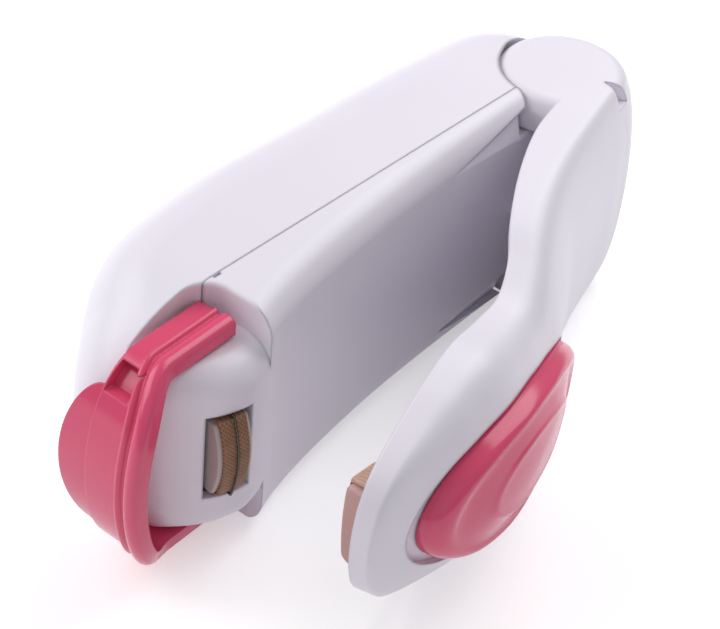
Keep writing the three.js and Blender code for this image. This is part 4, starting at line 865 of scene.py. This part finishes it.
for side in (1, -1):
    wedge = prism("pry wedge", PRY_WEDGE, side * PRY_START, side * (HALF_WIDTH + OVERRUN), pry_place)
    combine(shell, wedge, "DIFFERENCE")
dress(shell, white_abs, "lever", "lever_shell", 35)
print("lever faces", len(shell.data.polygons))

# %% [markdown]
# The press pad is a crowned silicone block on the lever's liner, with its own strip of cloth. It is drawn
# in the heater's frame with the lever shut, so both faces meet all along, and then swung out with the
# lever.

# %% Press pad
PRESS_HALF = (3.1, 5.8)
PRESS_GAP = 0.15
WIRE_HEIGHT = 0.44
PRESS_DROP = 0.35
PRESS_EDGE = 0.8
PRESS_SHIFT = 0.8
PRESS_THICK = 7
STRIP_HALF = 2.55
STRIP_EDGE = 0.9
STRIP_SHIFT = 1.35
STRIP_ROOM_HALF = 4.5
BELOW_TIP = -95
PRESS_FACE = -(HEATER_PROUD + 2 * CLOTH_GAP + CLOTH + WIRE_HEIGHT + PRESS_GAP)
PAD_FACE = PRESS_FACE - CLOTH_LIFT
PRESS_FOOT = PAD_FACE - PRESS_THICK


def below_liner():
    """All that lies behind the liner's face, on the lever's back side."""
    top = -RIM_FLAT * LEVER_DEPTH
    outline = [[BELOW_TIP, top], [0, top], [0, -2 * LEVER_DEPTH], [BELOW_TIP, -2 * LEVER_DEPTH]]
    return prism("below", outline, -HALF_WIDTH, HALF_WIDTH, lever_place)


press = crowned_strip("press_pad_skin", press_place, *PRESS_HALF, PAD_FACE, PRESS_FOOT, PRESS_DROP,
                      PRESS_EDGE, PRESS_SHIFT)
dress(combine(press, below_liner(), "DIFFERENCE"), silicone, "lever", "press_pad")
strip = crowned_strip("press_cloth_skin", press_place, STRIP_HALF, PRESS_HALF[1] + CLOTH_LIFT, PRESS_FACE,
                      PRESS_FOOT, PRESS_DROP, STRIP_EDGE, STRIP_SHIFT)
room = crowned_strip("press_room", press_place, STRIP_ROOM_HALF, PRESS_HALF[1] + CLOTH_GAP,
                     PRESS_FACE - CLOTH, PRESS_FOOT - OVERRUN, PRESS_DROP, PRESS_EDGE, PRESS_SHIFT)
combine(combine(strip, room, "DIFFERENCE"), below_liner(), "DIFFERENCE")
dress(strip, press_weave, "lever", "press_cloth")
print("press faces", len(press.data.polygons) + len(strip.data.polygons))

# %% [markdown]
# ## Lock clip
# The clip is one section carried along a U: two arms and a rounded front. Two soft ribs run low on its
# outer face, and a thumb visor grows from its upper edge over the front.

# %% Lock clip
LOCK_REACH = 17.6
LOCK_BEND = LOCK[0] - 8.5
ARM_BOTTOM = 2.9
FRONT_DROP = 2.8
RIB = (0.7, 2.5)
BEAD = (0.5, 1.1)
RIB_GAP = 0.3
SWELL_POWER = 0.6
SLOPE = 0.04
LOCK_POWER = 2.1
VISOR_RISE = 4.7
VISOR_HALF = 12.0
VISOR_STEP = 0.5
VISOR_FLARE = 0.2
VISOR_FOOT = 0.15
VISOR_THIN = 0.25
VISOR_LIFT = np.array([[0.0, 0.25, 0.5, 0.75, 0.93, 1.0]])
SLOT_ACROSS = (11.4, 14.3)
SLOT_HEIGHT = 3.8
SLOT_LIP = 0.5
SLOT_FRONT = -50.0
BACKING_ACROSS = (-0.35, 0.25)
BACKING_LEVELS = (-5.6, -0.6)
BACKING_START = (1, 6)
BOSS_RADIUS = 1.4
BOSS_LENGTH = 1.5


def lock_path(front_steps=120, arm_steps=10):
    """The U in plan at the outer face: straight arms and a superellipse between them."""
    turn = np.linspace(0, np.pi, front_steps + 1)
    across = np.sign(np.cos(turn)) * np.abs(np.cos(turn)) ** (2 / LOCK_POWER)
    bulge = np.maximum(1 - np.abs(across) ** LOCK_POWER, 0) ** (1 / LOCK_POWER)
    front = LOCK_REACH - LOCK[0] + LOCK_BEND
    arm = np.linspace(LOCK[0] + ARM_TAIL, LOCK_BEND, arm_steps, endpoint=False)
    x = np.concatenate([arm, LOCK_BEND - front * bulge, arm[::-1]])
    z = LOCK_HALF * np.concatenate([np.ones(arm_steps), across, -np.ones(arm_steps)])
    return x, z


def rib_profile(steps=9):
    """A wide rib and a narrow bead above it: offset out of the face, and level over the bottom edge."""
    swell = np.sin(np.linspace(0, np.pi, steps)) ** SWELL_POWER
    climb = np.linspace(0, 1, steps)
    rib = np.stack([RIB[0] * swell, RIB[1] * climb], axis=-1)
    bead = np.stack([BEAD[0] * swell, RIB[1] + RIB_GAP + BEAD[1] * climb], axis=-1)
    return np.concatenate([rib, bead])


def path_normals(x, z):
    """Unit vectors in plan that point out of the U, square to the path."""
    along = np.stack([np.gradient(x), np.gradient(z)], axis=-1)
    along /= np.linalg.norm(along, axis=1)[:, None]
    return np.stack([along[:, 1], -along[:, 0]], axis=-1)


def clip_grid():
    """Sections square to the U, as offsets and levels: inner foot, ribs, top, then the visor out and back."""
    x, z = lock_path()
    out = path_normals(x, z)
    top = LOCK[1] + ARM_TOP - SLOPE * (LOCK[0] + ARM_TAIL - x)
    front = np.clip((LOCK_BEND - x) / (LOCK_REACH - LOCK[0] + LOCK_BEND), 0, 1)
    bottom = top - ARM_TOP - ARM_BOTTOM - FRONT_DROP * front**2 * (3 - 2 * front)
    share = np.where(x < LOCK_BEND, np.sqrt(np.maximum(1 - (z / VISOR_HALF) ** 2, 0)), 0)
    ribs = rib_profile()
    rib_offset = np.broadcast_to(ribs[:, 0], (len(x), len(ribs)))
    rib_level = bottom[:, None] + ribs[None, :, 1]
    visor_level = top[:, None] + VISOR_FOOT + share[:, None] * VISOR_RISE * VISOR_LIFT
    visor_out = -VISOR_STEP + share[:, None] * VISOR_FLARE * VISOR_LIFT
    visor_in = -LOCK_WALL + VISOR_THIN + share[:, None] * VISOR_FLARE * VISOR_LIFT
    flat = np.zeros((len(x), 1))
    offset = np.hstack([flat - LOCK_WALL, rib_offset, flat, visor_out, visor_in[:, ::-1], flat - LOCK_WALL])
    low, high = bottom[:, None], top[:, None]
    level = np.hstack([low, rib_level, high, visor_level, visor_level[:, ::-1], high])
    grid_x = x[:, None] + out[:, :1] * offset
    grid_z = z[:, None] + out[:, 1:] * offset
    return np.stack([grid_x, level, grid_z], axis=-1)


def slot_backing():
    """A thin wall along the inner face that closes the slot at its back."""
    x, z = lock_path()
    near = (x < LOCK_BEND + BACKING_START[0]) & (z > BACKING_START[1])
    out = path_normals(x, z)[near]
    inner, outer = (share - LOCK_WALL for share in BACKING_ACROSS)
    offset = np.array([inner, outer, outer, inner])
    level = LOCK[1] + ARM_TOP + np.repeat(BACKING_LEVELS, 2)
    grid_x = x[near, None] + out[:, :1] * offset
    grid_z = z[near, None] + out[:, 1:] * offset
    return tube_object("backing", np.stack([grid_x, np.broadcast_to(level, grid_x.shape), grid_z], axis=-1))


clip = tube_object("clip_skin", clip_grid())
slot_top = LOCK[1] + ARM_TOP - SLOPE * (LOCK[0] + ARM_TAIL - LOCK_BEND) - SLOT_LIP
slot_low = [SLOT_FRONT, slot_top - SLOT_HEIGHT, SLOT_ACROSS[0]]
combine(clip, box_object("slot", slot_low, [LOCK_BEND, slot_top, SLOT_ACROSS[1]]), "DIFFERENCE")
combine(clip, slot_backing(), "UNION")
for side in (1, -1):
    low, high = sorted([side * (RECESS_FLOOR - BOSS_LENGTH), side * (LOCK_HALF - LOCK_WALL / 2)])
    combine(clip, disc_object("boss", BOSS_RADIUS, low, high, LOCK, 48), "UNION")
dress(clip, pink_abs, "lock", "lock_clip", 40)
print("clip faces", len(clip.data.polygons))

# %% [markdown]
# ## Stage, light and camera
# The floor is pale, catches a soft shadow, and glows only where the camera or a reflection sees it. A wide
# key lamp hangs over the object, a larger one stands on the cover's side and a faint one reaches into the
# jaw. The world adds an even light; pale plastic then renders close to its written colour.

# %% Stage and light
FLOOR_HALF = 3000
FLOOR_GLOW = 0.42
WORLD_LIGHT = 0.38


def seen_by(material, other_ray):
    """One where the ray comes from the camera or is of the other kind, else zero."""
    ray = add(material, "ShaderNodeLightPath")
    sockets = {0: ray.outputs["Is Camera Ray"], 1: ray.outputs[other_ray]}
    return add(material, "ShaderNodeMath", sockets, operation="MAXIMUM").outputs[0]


signs = ((-1, -1), (1, -1), (1, 1), (-1, 1))
floor = new_object("floor", [[x * FLOOR_HALF, y * FLOOR_HALF, -HALF_WIDTH] for x, y in signs], [[0, 1, 2, 3]])
floor_paint, shader = new_material("Pale floor", "#F2F1F4", 0.9)
glow = add(floor_paint, "ShaderNodeEmission", {"Strength": seen_by(floor_paint, "Is Glossy Ray")})
glow.inputs["Color"].default_value = (FLOOR_GLOW, FLOOR_GLOW, FLOOR_GLOW, 1)
both = add(floor_paint, "ShaderNodeAddShader", {0: shader.outputs[0], 1: glow.outputs[0]})
surface = floor_paint.node_tree.nodes["Material Output"].inputs["Surface"]
floor_paint.node_tree.links.new(both.outputs[0], surface)
floor.data.materials.append(floor_paint)

world = bpy.data.worlds.new("Soft studio")
bpy.context.scene.world = world
world.use_nodes = True
background = world.node_tree.nodes["Background"]
seen = {"Value": seen_by(world, "Is Transmission Ray")}
strength = add(world, "ShaderNodeMapRange", seen, To_Min=WORLD_LIGHT, To_Max=1.0)
world.node_tree.links.new(strength.outputs["Result"], background.inputs["Strength"])
background.inputs["Color"].default_value = (1, 1, 1, 1)


def soft_lamp(name, position, target, size, power):
    """A square area lamp that looks at the target."""
    data = bpy.data.lights.new(name, "AREA")
    data.size = size
    data.energy = power
    lamp = bpy.data.objects.new(name, data)
    bpy.context.scene.collection.objects.link(lamp)
    lamp.location = position
    lamp.rotation_euler = (Vector(target) - Vector(position)).to_track_quat("-Z", "Y").to_euler()


soft_lamp("key", (0.20, 0.0, 0.28), (0, 0, 0.02), 0.25, 0.5)
soft_lamp("jaw", (-0.26, -0.2, 0.2), (0.02, 0, 0.02), 0.3, 0.05)
soft_lamp("cover side", (-0.25, 0.5, 0.4), (0, 0, 0.02), 0.6, 2.6)

# %% [markdown]
# The camera stands at the photograph's viewing angle: turned to the nose, 39 degrees up and rolled a little.

# %% Camera
AZIMUTH, ELEVATION, ROLL = (math.radians(value) for value in (-52.24, 39.0, 5.3))
DISTANCE = 329.5
FOCAL_PX = 2521.8
AIM = np.array([-2.43, -3.26, 0.0])
PHOTO_WIDTH_PX = 720
SENSOR_MM = 36
flat = math.cos(ELEVATION)
back = np.array([math.sin(AZIMUTH) * flat, -math.cos(AZIMUTH) * flat, math.sin(ELEVATION)])
right = np.array([math.cos(AZIMUTH), math.sin(AZIMUTH), 0.0])
up = np.cross(back, right)
right_rolled = math.cos(ROLL) * right + math.sin(ROLL) * up
up_rolled = -math.sin(ROLL) * right + math.cos(ROLL) * up
camera_data = bpy.data.cameras.new("camera")
camera_data.sensor_fit = "HORIZONTAL"
camera_data.sensor_width = SENSOR_MM
camera_data.lens = FOCAL_PX / PHOTO_WIDTH_PX * SENSOR_MM
camera = bpy.data.objects.new("camera", camera_data)
bpy.context.scene.collection.objects.link(camera)
turn = Matrix((right_rolled, up_rolled, back)).transposed().to_4x4()
camera.matrix_world = Matrix.Translation(place(AIM + back * DISTANCE)) @ turn
bpy.context.scene.camera = camera
bpy.context.scene.view_settings.view_transform = "Standard"
print("lens", round(camera_data.lens, 1))
